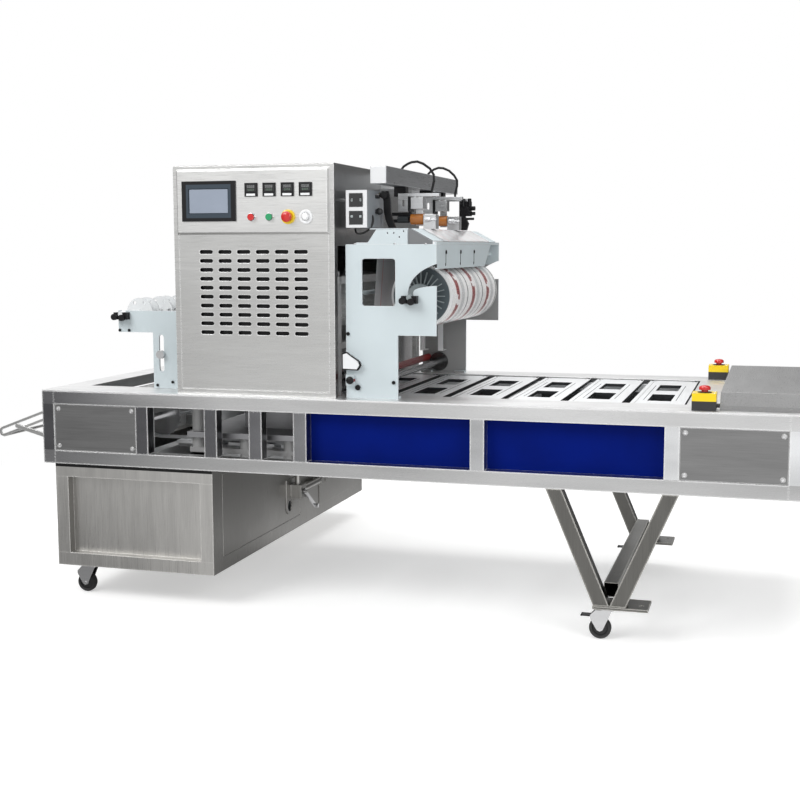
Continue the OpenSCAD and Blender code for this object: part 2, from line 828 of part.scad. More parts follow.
// Oil sealed pump in the rear bay: body, motor, exhaust filter and its feet
pump_x = 180;
pump_y = 1210;
pump_w = 250;
pump_d = 330;
pump_h = 190;
pump_foot = 24;
pump_motor_r = 82;
pump_motor_len = 150;
pump_fins = 7;
pump_fin_t = 4;
module vacuum_pump() {
    z = foot_z + tube + pump_foot;
    pitch = pump_d / (pump_fins + 1);
    color("slategray") datum() {
        block([pump_x, pump_y, z], [pump_w, pump_d, pump_h]);
        for (x = [pump_x + pump_foot, pump_x + pump_w - pump_foot], y = [pump_y + pump_foot, pump_y + pump_d - pump_foot])
            rod_z(x, y, foot_z + tube + seam, z, pump_foot / 2);
        for (k = [1 : pump_fins])
            block([pump_x - pump_foot / 2, pump_y + k * pitch, z + pump_foot],
                  [pump_w + pump_foot, pump_fin_t, pump_h - 2 * pump_foot]);
        rod_x(pump_x + pump_w, pump_x + pump_w + pump_motor_len, pump_y + pump_d / 2, z + pump_h / 2, pump_motor_r);
        rod_z(pump_x + pump_w / 2, pump_y + pump_d / 2, z + pump_h, z + pump_h + 2 * pump_foot, pump_foot);
        rod_y(pump_x + pump_w / 2, pump_y + pump_d, pump_y + pump_d + 3 * pump_foot, z + pump_h / 2, pump_h / 3);
    }
}

// Vacuum valve on the side of the cabinet: block, two pipes and the lever's spindle
valve_y = 800;
valve_z = 300;
valve_w = 60;
valve_h = 110;
valve_d = 52;
valve_plate_w = 150;
spindle_r = 7;
spindle_len = 12;
valve_pipe_r = 13;
valve_x = low_x1 + sheet + seam;
lever_len = 150;
lever_rest = 35;
lever_hub_share = 0.8;
lever_w = 16;
lever_t = 6;
lever_x = valve_x + valve_d + sheet;
module valve_lever() {
    knob_r = 9;
    color("silver") datum() difference() {
        union() {
            rod_x(lever_x + rest_gap, lever_x + rest_gap + lever_t, valve_y, valve_z, lever_w * lever_hub_share);
            translate([lever_x + rest_gap, valve_y, valve_z]) rotate([-lever_rest, 0, 0])
                translate([0, 0, -lever_w / 2]) cube([lever_t, lever_len, lever_w]);
            translate([0, valve_y + lever_len * cos(lever_rest), valve_z - lever_len * sin(lever_rest)])
                rod_x(lever_x + rest_gap, lever_x + rest_gap + 3 * lever_t, 0, 0, knob_r);
        }
        rod_x(lever_x, lever_x + 2 * lever_t, valve_y, valve_z, spindle_r + fit);
    }
}

module vacuum_valve() {
    difference() {
        block([valve_x, valve_y - valve_plate_w / 2, valve_z - valve_h / 2], [sheet * 2, valve_plate_w, valve_h]);
        rod_x(valve_x - over, valve_x + sheet * 2 + over, port_y, port_z, port_r + over);
    }
    block([valve_x, valve_y - valve_w / 2, valve_z - valve_w / 2], [valve_d, valve_w, valve_w]);
    rod_x(valve_x, lever_x + spindle_len, valve_y, valve_z, spindle_r);
    rod_z(valve_x + valve_d / 2, valve_y, valve_z, frame_bottom - over, valve_pipe_r);
    rod_y(valve_x + valve_d / 2, valve_y, low_front_d, valve_z, valve_pipe_r);
    rod_x(valve_x, valve_x + valve_d / 2 + valve_pipe_r, low_front_d, valve_z, valve_pipe_r + door_lap / 2);
}

// V legs, foot plates and cross beam at the infeed end
low_caster_in = 98;
low_caster_y = [low_caster_in, low_d - low_caster_in];
leg_y = [0, table_w - tube];
leg_split = 1;
foot_back_share = 0.3;
module leg_outline(side, inset, spare) {
    wide = tube / cos(leg_lean);
    inner = leg_split + inset;
    outer = leg_split + wide - inset;
    rise = frame_bottom - seam - foot_z;
    polygon([for (p = [[inner, -spare], [outer, -spare], [outer, rise + spare], [inner, rise + spare]])
             [leg_x + side * (p[0] + p[1] * tan(leg_lean)), foot_z + seam + p[1] * (1 - seam / rise)]]);
}

module foot_plate(y, hole_y) {
    difference() {
        block([leg_x - foot_len * foot_back_share, y, foot_z0], [foot_len, foot_w, foot_t]);
        rod_z(leg_x + foot_len * (1 - foot_back_share) - foot_hole_in, hole_y, foot_z0 - over, foot_z + over, foot_hole_r);
    }
}

foot_set = [-10, 157, 87.4];
foot_y = [foot_set[0], table_w - foot_set[1]];
leg_caster_in = [46, 75];
leg_caster_y = [leg_caster_in[0], table_w - leg_caster_in[1]];
module leg_frame() {
    color("dimgray") datum() {
        for (y = leg_y, side = [-1, 1])
            difference() {
                slab_y(y, y + tube) leg_outline(side, 0, 0);
                slab_y(y + tube_wall, y + tube - tube_wall) leg_outline(side, tube_wall / cos(leg_lean), over);
            }
        translate([leg_x - tube / 2, tube + seam, foot_z + leg_beam_h])
            square_tube([tube, table_w - 2 * tube - 2 * seam, tube], 1);
        foot_plate(foot_y[0], foot_hole_y);
        foot_plate(foot_y[1], foot_y[1] + foot_set[2]);
        for (y = leg_caster_y)
            block([caster_x[1] - caster_plate / 2, y - caster_plate / 2, foot_z0 - caster_plate_t - seam],
                  [caster_plate, caster_plate, caster_plate_t]);
    }
}

// Castors: each fork swivels about its plate, each wheel rolls on the fork's axle
caster_top = foot_z0 - caster_plate_t - seam - rest_gap;
fork_t = 3;
fork_head_r = 28;
fork_gap = 3;
axle_r = 5;
pedal_dx = -54;
pedal_z = 78;
pedal_pin_r = 3;
pedal_hub_r = 5.5;
pedal_len = 36;
pedal_t = 4;
pedal_bead_share = 0.75;
module caster_fork(x, y) {
    cheek_y = wheel_w / 2 + fork_gap;
    low = caster_top - caster_head_t;
    color("silver") datum() translate([x, y, 0]) {
        rod_z(0, 0, low, caster_top, fork_head_r);
        block([-fork_head_r - caster_trail / 2, -cheek_y - fork_t, low - fork_t],
              [2 * fork_head_r, 2 * (cheek_y + fork_t), fork_t]);
        for (s = [-1, 1])
            slab_y(s > 0 ? cheek_y : -cheek_y - fork_t, s > 0 ? cheek_y + fork_t : -cheek_y)
                polygon([[-fork_head_r - caster_trail / 2, low], [fork_head_r - caster_trail / 2, low],
                         [-caster_trail + 2 * axle_r, wheel_r - axle_r], [-caster_trail, wheel_r - 2 * axle_r],
                         [-caster_trail - 2 * axle_r, wheel_r - axle_r], [pedal_dx - pedal_hub_r, pedal_z - pedal_hub_r],
                         [pedal_dx - pedal_hub_r, pedal_z + pedal_hub_r]]);
        rod_y(-caster_trail, -cheek_y - 2 * fork_t, cheek_y + 2 * fork_t, wheel_r, axle_r);
        rod_y(pedal_dx, -cheek_y - fork_t, cheek_y + fork_t, pedal_z, pedal_pin_r);
    }
}

module caster_wheel(x, y) {
    wheel_shares = [0.7, 0.3];
    rim_r = wheel_r * wheel_shares[0];
    hub_r = wheel_r * wheel_shares[1];
    color("black") datum() translate([x - caster_trail, y, wheel_r]) rotate([90, 0, 0]) rotate_extrude()
        polygon([[axle_r + fit, -wheel_w / 2], [hub_r, -wheel_w / 2], [rim_r, -wheel_w / 4],
                 [rim_r, -wheel_w / 2 + fork_gap], [wheel_r - fork_gap, -wheel_w / 2], [wheel_r, -wheel_w / 4],
                 [wheel_r, wheel_w / 4], [wheel_r - fork_gap, wheel_w / 2], [rim_r, wheel_w / 2 - fork_gap],
                 [rim_r, wheel_w / 4], [hub_r, wheel_w / 2], [axle_r + fit, wheel_w / 2]]);
}

module brake_pedal(x, y) {
    half = wheel_w / 2 + fork_gap - rest_gap;
    color("black") datum() translate([x, y, 0]) difference() {
        union() {
            rod_y(pedal_dx, -half, half, pedal_z, pedal_hub_r);
            block([pedal_dx - pedal_len, -half, pedal_z], [pedal_len, 2 * half, pedal_t]);
            rod_y(pedal_dx - pedal_len, -half, half, pedal_z + pedal_t / 2, pedal_t * pedal_bead_share);
        }
        rod_y(pedal_dx, -half - over, half + over, pedal_z, pedal_pin_r + fit);
    }
}

module caster_fork_1() {
    caster_fork(caster_x[0], low_caster_y[0]);
}

module caster_fork_2() {
    caster_fork(caster_x[0], low_caster_y[1]);
}

module caster_fork_3() {
    caster_fork(caster_x[1], leg_caster_y[0]);
}

module caster_fork_4() {
    caster_fork(caster_x[1], leg_caster_y[1]);
}

module caster_wheel_1() {
    caster_wheel(caster_x[0], low_caster_y[0]);
}

module caster_wheel_2() {
    caster_wheel(caster_x[0], low_caster_y[1]);
}

module caster_wheel_3() {
    caster_wheel(caster_x[1], leg_caster_y[0]);
}

module caster_wheel_4() {
    caster_wheel(caster_x[1], leg_caster_y[1]);
}

module brake_pedal_1() {
    brake_pedal(caster_x[1], leg_caster_y[0]);
}

module brake_pedal_2() {
    brake_pedal(caster_x[1], leg_caster_y[1]);
}

// Sealing cabinet
cab_rim = 20;
module tunnel_wall(x, tunnel_low) {
    z0 = table_top + seam;
    z1 = cab_top - sheet - seam;
    y0 = cab_y + sheet + seam;
    y1 = cab_y1 - sheet - seam;
    mouth_y0 = cab_y + tunnel_side;
    mouth_y1 = cab_y1 - tunnel_side;
    block([x, y0, z0], [sheet, mouth_y0 - y0, z1 - z0]);
    block([x, mouth_y1, z0], [sheet, y1 - mouth_y1, z1 - z0]);
    block([x, mouth_y0 + seam, cab_top - tunnel_low],
          [sheet, mouth_y1 - mouth_y0 - 2 * seam, tunnel_low - sheet - seam]);
}

module cabinet_walls() {
    color("lightgray") datum() {
        tunnel_wall(cab_x, tunnel_left_low);
        tunnel_wall(cab_x1 - sheet, tunnel_right_low);
        block([cab_x, cab_y, cab_top - sheet], [cab_w, cab_d, sheet]);
        block([cab_x, cab_y1 - sheet, table_top + seam], [cab_w, sheet, cab_h - sheet - 2 * seam]);
        for (x = [cab_x, cab_x1 - cab_rim])
            block([x, cab_y, table_top + seam], [cab_rim - seam, sheet, cab_h - sheet - 2 * seam]);
        for (z = [table_top + seam, cab_top - cab_rim - sheet])
            block([cab_x + cab_rim, cab_y, z], [cab_w - 2 * cab_rim - seam, sheet, cab_rim - 2 * seam]);
        for (x = [cab_x + sheet + seam, cab_x1 - sheet - seam - tube / 2],
             y = [cab_y + sheet + seam, cab_y1 - sheet - seam - tube / 2])
            translate([x, y, table_top + seam]) square_tube([tube / 2, tube / 2, cab_h - sheet - 2 * seam], 2);
    }
}

module vent_panel() {
    z0 = table_top + cab_rim + seam;
    z1 = cab_top - sheet - cab_rim - seam;
    color("lightgray") datum() difference() {
        block([cab_x + cab_rim + seam, cab_y, z0], [cab_w - 2 * cab_rim - 3 * seam, sheet, z1 - z0]);
        slab_y(cab_y - over, cab_y + sheet + over)
            for (i = [0 : vent_cols - 1], k = [0 : vent_rows - 1])
                translate([cab_x + vent_first_x + i * vent_pitch_x, cab_top - vent_first_in - k * vent_pitch_z])
                    obround(vent_len, vent_h);
        translate([0, cab_y + sheet, 0]) mirror([0, 1, 0])
            for (x = concat(button_x, [lamp_x]))
                translate([0, -over, 0]) rod_y(x, 0, sheet + 2 * over, button_z, button_hole_r);
    }
}

panel_x0 = cab_x + panel_side;
panel_x1 = cab_x1 - panel_side;
button_in = [312, 381, 451, 518];
button_low = 186;
button_x = [cab_x + button_in[0], cab_x + button_in[1], cab_x + button_in[2]];
lamp_x = cab_x + button_in[3];
button_z = cab_top - button_low;
button_hole_r = 11;
button_r = 9.5;
button_travel = 3;
button_len = 22;
button_head_r = 12;
button_proud = 5;
controller_in = [311, 380, 449, 517];
controller_x = [for (dx = controller_in) cab_x + dx];
controller_low = 90;
controller_z = cab_top - controller_low;
screen_in = [42, 200];
screen_x = cab_x + screen_in[0];
screen_z = cab_top - screen_in[1];
screen_proud = 6;
controller_proud = 5;
// Raised console with four bevelled edges, drilled for its buttons
module control_panel() {
    z0 = cab_top - panel_low_in;
    z1 = cab_top - panel_high_in;
    color("gainsboro") datum() difference() {
        intersection() {
            slab_x(panel_x0, panel_x1)
                polygon([[cab_y - seam, z0], [panel_y, z0 + panel_bevel], [panel_y, z1 - panel_bevel],
                         [cab_y - seam, z1]]);
            translate([0, 0, z0]) linear_extrude(height = z1 - z0)
                polygon([[panel_x0, cab_y - seam], [panel_x0 + panel_bevel, panel_y],
                         [panel_x1 - panel_bevel, panel_y], [panel_x1, cab_y - seam]]);
        }
        for (x = concat(button_x, [lamp_x]))
            rod_y(x, panel_y - over, cab_y + over, button_z, button_hole_r);
    }
}

module screen_bezel() {
    edge = 27;
    depth = 3;
    difference() {
        block([screen_x, panel_y - screen_proud, screen_z], [screen_w, screen_proud, screen_h]);
        block([screen_x + edge, panel_y - screen_proud - over, screen_z + edge],
              [screen_w - 2 * edge, depth + over, screen_h - 2 * edge]);
    }
}

module controller_unit(x) {
    edge = 5;
    depth = 2;
    keys = 3;
    key_w = 8;
    key_pitch = 12;
    key_h = 5;
    difference() {
        block([x - controller / 2, panel_y - controller_proud, controller_z - controller / 2],
              [controller, controller_proud, controller]);
        block([x - controller / 2 + edge, panel_y - controller_proud - over, controller_z - controller / 8],
              [controller - 2 * edge, depth + over, controller / 2]);
    }
    for (k = [0 : keys - 1])
        block([x + (k - 1) * key_pitch - key_w / 2, panel_y - controller_proud - depth / 2,
               controller_z - controller / 2 + edge], [key_w, depth, key_h]);
}

// Collar of a push button with its sleeve through the console
module collar(x, r) {
    difference() {
        union() {
            rod_y(x, panel_y - collar_t, panel_y - seam / 2, button_z, r);
            rod_y(x, panel_y - seam, cab_y + button_len, button_z, button_hole_r - fit);
        }
        rod_y(x, panel_y - collar_t - over, cab_y + button_len + over, button_z, button_r + fit);
    }
}

module panel_instruments() {
    estop_ring_r = 25;
    dome_steps = 6;
    color("black") datum() {
        screen_bezel();
        for (x = controller_x)
            controller_unit(x);
        for (x = [button_x[0], button_x[1]])
            collar(x, button_head_r + over);
        collar(button_x[2], estop_ring_r);
        rod_y(lamp_x, panel_y - collar_t, panel_y, button_z, button_head_r + over);
        rod_y(lamp_x, panel_y - seam, cab_y + button_len, button_z, button_hole_r - fit);
        translate([lamp_x, panel_y - collar_t, button_z]) rotate([90, 0, 0]) rotate_extrude()
            polygon(concat([[0, 0], [button_head_r, 0]],
                           bezier([button_head_r, button_proud], [button_head_r, 2 * button_proud],
                                  [0, 2 * button_proud], dome_steps)));
    }
}

module push_button(x) {
    color("green") datum() translate([x, panel_y - collar_t, button_z]) rotate([90, 0, 0]) rotate_extrude()
        polygon([[0, -button_len - panel_proud], [button_r, -button_len - panel_proud],
                 [button_r, button_travel + rest_gap],
                 [button_head_r, button_travel + rest_gap], [button_head_r, button_travel + button_proud],
                 [button_head_r - collar_t / 6, button_travel + collar_t], [0, button_travel + collar_t]]);
}

module stop_button() {
    push_button(button_x[0]);
}

module start_button() {
    push_button(button_x[1]);
}

module panel_estop() {
    color("red") datum() translate([button_x[2], panel_y - collar_t, button_z]) rotate([90, 0, 0])
        mushroom(mushroom_r, button_r, button_len + panel_proud);
}

// Press: base bars, four bright columns, head plate and cylinders
press_side = 8;
press_far = 38;
press_x0 = cab_x + press_side;
press_x1 = cab_x1 - press_side;
cylinder_top = 216;
lift_r = 26;
lift_rod_r = 10;
lift_x = [(post_x(1) + post_x(2)) / 2, (post_x(2) + post_x(3)) / 2];
mould_x = (mould_x0 + mould_x1) / 2;
mould_y = (mould_y0 + mould_y1) / 2;
module press_frame() {
    bar_w = 2 * column_r;
    nut_h = 18;
    nut_share = 0.8;
    color("silver") datum() {
        for (y = column_y)
            difference() {
                union() {
                    block([press_x0, y - bar_w / 2, base_bar_z], [press_x1 - press_x0, bar_w, base_bar_h]);
                    for (x = lift_x)
                        rod_z(x, y, frame_bottom + over, platform_z - over, lift_r);
                }
                for (x = lift_x)
                    rod_z(x, y, frame_bottom + 2 * over, platform_z + over, lift_rod_r + fit);
            }
        for (x = column_x, y = column_y) {
            rod_z(x, y, base_bar_z + base_bar_h + seam, head_z - seam, column_r);
            translate([x, y, column_top + seam]) cylinder(h = nut_h, r = column_r * nut_share, $fn = 6);
        }
        difference() {
            block([press_x0, column_y[0] - bar_w, head_z],
                  [press_x1 - press_x0, column_y[1] - column_y[0] + bar_w + press_far, head_t]);
            rod_z(mould_x, mould_y, head_z - over, column_top + over, rod_r + fit);
        }
        difference() {
            union() {
                rod_z(mould_x, mould_y, column_top + seam, column_top + cylinder_top, cylinder_r);
                for (z = [column_top + seam, column_top + cylinder_top - head_t])
                    block([mould_x - cylinder_r - over, mould_y - cylinder_r - over, z],
                          [2 * cylinder_r + 2 * over, 2 * cylinder_r + 2 * over, head_t]);
                for (x = [-1, 1], y = [-1, 1])
                    rod_z(mould_x + x * cylinder_r, mould_y + y * cylinder_r, column_top + seam,
                          column_top + cylinder_top + over, lift_rod_r / 2);
            }
            rod_z(mould_x, mould_y, column_top - over, column_top + cylinder_top - head_t, rod_r + fit);
        }
    }
}

guide_over = 20;
module guide_plate(z, t) {
    difference() {
        block([press_x0, column_y[0] - column_r - guide_over, z],
              [press_x1 - press_x0, column_y[1] - column_y[0] + column_r + guide_over + press_far, t]);
        for (x = column_x, y = column_y)
            rod_z(x, y, z - over, z + t + over, column_r + fit);
    }
}

module tray_pockets(z0, z1) {
    pocket_share = 0.7;
    for (s = [-1, 1], k = [0, 1])
        block([mould_x + (k - 0.5) * carrier_pitch * pocket_share - window_len * pocket_share,
               window_mid + s * (window_w + window_gap) / 2 - window_w / 2 - mould_wall / 2, z0],
              [window_len * 2 * pocket_share, window_w + mould_wall, z1 - z0]);
}

module upper_mould() {
    z1 = upper_mould_z + upper_mould_h;
    stroke_spare = 24;
    color("silver") datum() {
        difference() {
            block([mould_x0, mould_y0, upper_mould_z], [mould_x1 - mould_x0, mould_y1 - mould_y0, upper_mould_h]);
            tray_pockets(upper_mould_z - over, upper_mould_z + mould_wall);
        }
        guide_plate(z1, press_bolster_t);
        rod_z(mould_x, mould_y, z1 + press_bolster_t - over, column_top + cylinder_top - head_t - stroke_spare, rod_r);
    }
}

module lower_mould() {
    color("silver") datum() {
        guide_plate(platform_z, platform_t);
        difference() {
            block([mould_x0, mould_y0, platform_z + platform_t - over],
                  [mould_x1 - mould_x0, mould_y1 - mould_y0, lower_mould_top - platform_z - platform_t + over]);
            tray_pockets(lower_mould_top - 3 * mould_wall, lower_mould_top + over);
        }
        for (x = lift_x, y = column_y)
            rod_z(x, y, frame_bottom + 4 * over, platform_z + over, lift_rod_r);
    }
}

// Film unit: the open hook that the roll's shaft drops into is part of both side plates
jaw_rise = [98, 22];
jaw_bend = [3, 66, 12, 17];
window_in = 60;
window_x = film_x + window_in;
window_low = 31;
window_z = roll_z - window_low;
film_window_w = 123;
film_window_h = 166;
film_window_r = 10;
module film_outline() {
    steps = 12;
    upper = bezier([roll_x - seat_r, lip_z], [roll_x - jaw_bend[0], lip_z + jaw_bend[1]],
                   [film_x1, lip_z + jaw_rise[0]], steps);
    lower = bezier([film_x1, lip_z + jaw_rise[1]], [roll_x + jaw_bend[2], lip_z + jaw_bend[3]],
                   [roll_x + seat_r, lip_z], steps);
    difference() {
        polygon(concat([[film_x, table_top + seam], [film_step_x, table_top + seam], [film_step_x, film_step_z],
                        [film_x1, film_step_z]], lower, [[roll_x + seat_r, roll_z], [roll_x - seat_r, roll_z]], upper,
                       [[film_x1, film_top], [film_x, film_top]]));
        translate([roll_x, roll_z]) circle(r = seat_r);
        translate([window_x, window_z]) {
            translate([film_window_r, 0]) square([film_window_w - 2 * film_window_r, film_window_h]);
            translate([0, film_window_r]) square([film_window_w, film_window_h - 2 * film_window_r]);
            for (x = [film_window_r, film_window_w - film_window_r], z = [film_window_r, film_window_h - film_window_r])
                translate([x, z]) circle(r = film_window_r);
        }
    }
}

plate_screw_r = 4;
plate_screws = [[8, 229], [177, 59]];
plate_bolt = [44, 38];
plate_bolt_r = 7;
latch_at = [24, 130];
latch_x = film_x + latch_at[0];
latch_z = table_top + latch_at[1];
latch_pin_r = 6;
latch_t = 14;
keeper_in = [3, 46];
keeper_w = 28;
keeper_h = 38;
foot_pad = 45;
module film_plates() {
    pin_blind = 2;
    color("lightsteelblue") datum() {
        for (y = film_y)
            difference() {
                slab_y(y, y + film_plate_t) film_outline();
                rod_y(red_x, y - over, y + film_plate_t + over, red_z, roller_pin_r + fit);
                rod_y(chrome_x, y == film_y[0] ? y + pin_blind : y - over, y + film_plate_t + over,
                      chrome_z, roller_pin_r + fit);
            }
        for (p = plate_screws)
            rod_y(film_x + p[0], film_y[0] - sheet, film_y[0], table_top + p[1], plate_screw_r);
        rod_y(film_x + plate_bolt[0], film_y[0] - 2 * sheet, film_y[0], table_top + plate_bolt[1], plate_bolt_r);
        rod_y(latch_x, film_y[0] - latch_t - over, film_y[0], latch_z, latch_pin_r);
        difference() {
            block([film_x + keeper_in[0], film_y[0] - 2 * film_plate_t, table_top + keeper_in[1]],
                  [keeper_w, 2 * film_plate_t, keeper_h]);
            rod_y(red_x, film_y[0] - 3 * film_plate_t, film_y[0] + over, red_z, roller_pin_r + fit);
        }
        for (y = [film_y[0] + film_plate_t, film_y[1] - rail_w], x = [film_x, film_step_x - foot_pad])
            block([x, y, table_top + seam], [foot_pad, rail_w, film_plate_t]);
    }
}

latch_outline = [[-35, -28], [-35, 32], [-20, 37], [30, 3], [37, -12], [26, -30]];
latch_boss = 14;
module film_latch() {
    color("silver") datum() difference() {
        union() {
            slab_y(film_y[0] - latch_t / 2, film_y[0] - rest_gap)
                translate([latch_x, latch_z]) polygon(latch_outline);
            rod_y(latch_x, film_y[0] - latch_t, film_y[0] - rest_gap, latch_z, latch_boss);
            block([latch_x + latch_outline[0][0], film_y[0] - latch_t, latch_z - latch_boss],
                  [-latch_outline[0][0] + latch_boss, latch_t / 2 + over, latch_boss]);
        }
        rod_y(latch_x, film_y[0] - 2 * latch_t - over, film_y[0], latch_z, latch_pin_r + fit);
    }
}

// Thin strip along a line of points in X and Z, to one side of it
function strip_side(p, s) = [for (i = [0 : len(p) - 1])
    let (a = p[max(i - 1, 0)], b = p[min(i + 1, len(p) - 1)], d = b - a, n = [-d[1], d[0]] / norm(d)) p[i] + s * n];
function backwards(p) = [for (i = [len(p) - 1 : -1 : 0]) p[i]];
module strip(p, t) {
    polygon(concat(strip_side(p, 0), backwards(strip_side(p, t))));
}

ramp_drop = 43;
ramp_z = coder_z - ramp_drop;
tie_r = 8;
tie_in = [34, 20, 39, 40, 20, 10];
tie_points = [[film_x + tie_in[0], film_top - tie_in[1]], [film_x1 - tie_in[2], film_top - tie_in[3]],
              [film_x + tie_in[4], roll_z + tie_in[5]]];
keyhole_y = [for (share = [0.13, 0.343, 0.557]) film_y[0] + share * (film_y[1] - film_y[0])];
keyhole_r = 8;
keyhole_low = 14;
keyhole_len = 52;
keyhole_share = 0.75;
lip_far_in = [265, 150];
lip_bar_h = 8;
bracket_shape = [[-3, 0], [-3, 8], [27, 51], [140, 51], [140, 0]];
bracket_holes = [[68, 39], [91, 39], [111, 25], [127, 45]];
bracket_hole_r = 3;
cheek_top = 12;
cheek_t = 3;
gauge_in = [5, 84];
gauge_w = 22;
gauge_low = 96;
gauge_far = 60;
gusset_len = 44;
module coder_table() {
    y0 = film_y[0] + film_plate_t + seam;
    y1 = film_y[1] - seam;
    gauge_y = film_y[1] - gauge_far;
    bracket_x = coder_x0 + bracket_shape[3][0];
    bracket_z = film_top + seam;
    color("lightsteelblue") datum() {
        slab_y(y0, y1) strip([[ramp_x1, ramp_z], [coder_x1, coder_z], [coder_x0, coder_z]], coder_sheet);
        for (y = film_y)
            difference() {
                slab_y(y, y + film_plate_t) translate([coder_x0, bracket_z]) polygon(bracket_shape);
                for (p = bracket_holes)
                    rod_y(coder_x0 + p[0], y - over, y + film_plate_t + over, bracket_z + p[1], bracket_hole_r);
            }
        for (y = [film_y[0] + film_plate_t - cheek_t, film_y[1]])
            slab_y(y, y + cheek_t)
                polygon([[bracket_x + seam, film_top + seam], [bracket_x + seam, coder_z - coder_sheet],
                         [bracket_x + cheek_top, coder_z - coder_sheet], [ramp_x1, ramp_z - coder_sheet],
                         [ramp_x1, film_top + seam]]);
        difference() {
            slab_x(lip_plate_x, film_x1)
                polygon([[y0, lip_plate_z], [film_y[1] - lip_far_in[0], lip_plate_z],
                         [film_y[1] - lip_far_in[1], film_top - seam], [y0, film_top - seam]]);
            for (y = keyhole_y) {
                rod_x(lip_plate_x - over, film_x1 + over, y, lip_plate_z + keyhole_low + keyhole_len - keyhole_r, keyhole_r);
                rod_x(lip_plate_x - over, film_x1 + over, y - keyhole_r / 2, lip_plate_z + keyhole_low, keyhole_r * keyhole_share);
                block([lip_plate_x - over, y - keyhole_r / 2, lip_plate_z + keyhole_low],
                      [lip_plate_t + 2 * over, keyhole_r, keyhole_len - keyhole_r]);
            }
        }
        block([lip_plate_x, film_y[0], film_top + seam], [lip_plate_t, film_y[1] + film_plate_t - film_y[0], lip_bar_h]);
        for (p = tie_points)
            rod_y(p[0], y0, y1, p[1], tie_r);
        for (x = gauge_in)
            block([film_x + x, gauge_y, table_top + gauge_low],
                  [gauge_w, coder_sheet, film_top - table_top - 2 * gauge_low / 2]);
        for (x = gauge_in, z = [table_top + gauge_low, film_top - 2 * coder_sheet])
            block([film_x + x, gauge_y, z], [gauge_w, gauge_far - seam, coder_sheet]);
        block([coder_x0 - gusset_len - coder_sheet, film_y[0], film_top + seam], [gusset_len - seam, rail_w, 2 * coder_sheet]);
    }
}

// Film from the roll over the ramp and table, under the red roller, through the press and up to the reels
web_z = carrier_top + 1;
web_turn = 6;
web_exit = 55;
web_gap = 2;
web_press_in = [60, 20];
module film_web() {
    lip = [lip_plate_x - 2 * web_gap, ramp_z - web_gap];
    reach = lip - [roll_x, roll_z];
    leave = atan2(reach[1], reach[0]) + acos((roll_r + rest_gap) / norm(reach));
    arc = [for (k = [0 : web_turn]) let (a = -k * web_exit / web_turn)
        [red_x + (red_r + 2 * rest_gap) * cos(a), red_z + (red_r + 2 * rest_gap) * sin(a)]];
    lead_x = slot_x + dancer_r + web_gap / 2;
    path = concat([[roll_x + (roll_r + 2 * rest_gap) * cos(leave), roll_z + (roll_r + 2 * rest_gap) * sin(leave)], lip,
                   [ramp_x1, ramp_z + web_gap], [coder_x1 + web_gap, coder_z + web_gap / 2],
                   [coder_x0 - over, coder_z + web_gap / 2], [coder_x0 - 5 * web_gap, coder_z - 5 * web_gap]], arc,
                  [[cab_x1 - web_press_in[1], web_z + web_gap], [cab_x1 - web_press_in[0], web_z], [lead_x, web_z],
                   [lead_x, turn_bar_z + tie_r], [reel_x + hub_ring_r + web_gap, reel_z]]);
    color("white") datum() slab_y(roll_y0, roll_y1) strip(path, web_t);
}

// Film shaft with a dark disc and a ring of ribs at each end of the roll
core_tail = 24;
flange_in = 10;
flange_w = 6.7;
rib_ring = [45, 88];
rib_t = 3;
rib_out = 10;
hub_out = 26;
module film_core() {
    color("dimgray") datum() {
        rod_y(roll_x, film_y[0] - core_tail, film_y[1] + film_plate_t + core_tail, roll_z, shaft_r);
        rod_y(roll_x, roll_y0 - over, roll_y1 + over, roll_z, core_r - fit);
        for (side = [0, 1]) {
            y = side == 0 ? roll_y0 - rest_gap - flange_w : roll_y1 + rest_gap;
            out = side == 0 ? y - rib_out : y + flange_w - over;
            rod_y(roll_x, y, y + flange_w, roll_z, roll_r - flange_in);
            rod_y(roll_x, side == 0 ? y - hub_out : y, side == 0 ? y : y + flange_w + hub_out, roll_z, rib_ring[0]);
            for (k = [0 : core_ribs - 1])
                translate([roll_x, 0, roll_z]) rotate([0, k * 360 / core_ribs, 0])
                    block([rib_ring[0] - over, out, -rib_t / 2], [rib_ring[1] - rib_ring[0] + over, rib_out + over, rib_t]);
        }
    }
}

module film_roll() {
    color("white") datum() difference() {
        rod_y(roll_x, roll_y0, roll_y1, roll_z, roll_r);
        rod_y(roll_x, roll_y0 - over, roll_y1 + over, roll_z, core_r + fit);
    }
}

module web_roller(x, z, r, pin_out) {
    rod_y(x, film_y[0] + film_plate_t + rest_gap, film_y[1] - rest_gap, z, r);
    rod_y(x, film_y[0] - pin_out, film_y[1] + film_plate_t - rest_gap, z, roller_pin_r);
}

module red_roller() {
    color("firebrick") datum() web_roller(red_x, red_z, red_r, 3 * film_plate_t - rest_gap);
}

disc_in = 20;
module chrome_roller() {
    pin_back = 3;
    disc_y = film_y[1] - disc_in;
    color("silver") datum() {
        web_roller(chrome_x, chrome_z, chrome_r, -pin_back);
        rod_y(chrome_x, disc_y, disc_y + film_plate_t, chrome_z, disc_r);
        rod_y(chrome_x, disc_y - film_plate_t, disc_y, chrome_z, chrome_r + 2 * over);
    }
}

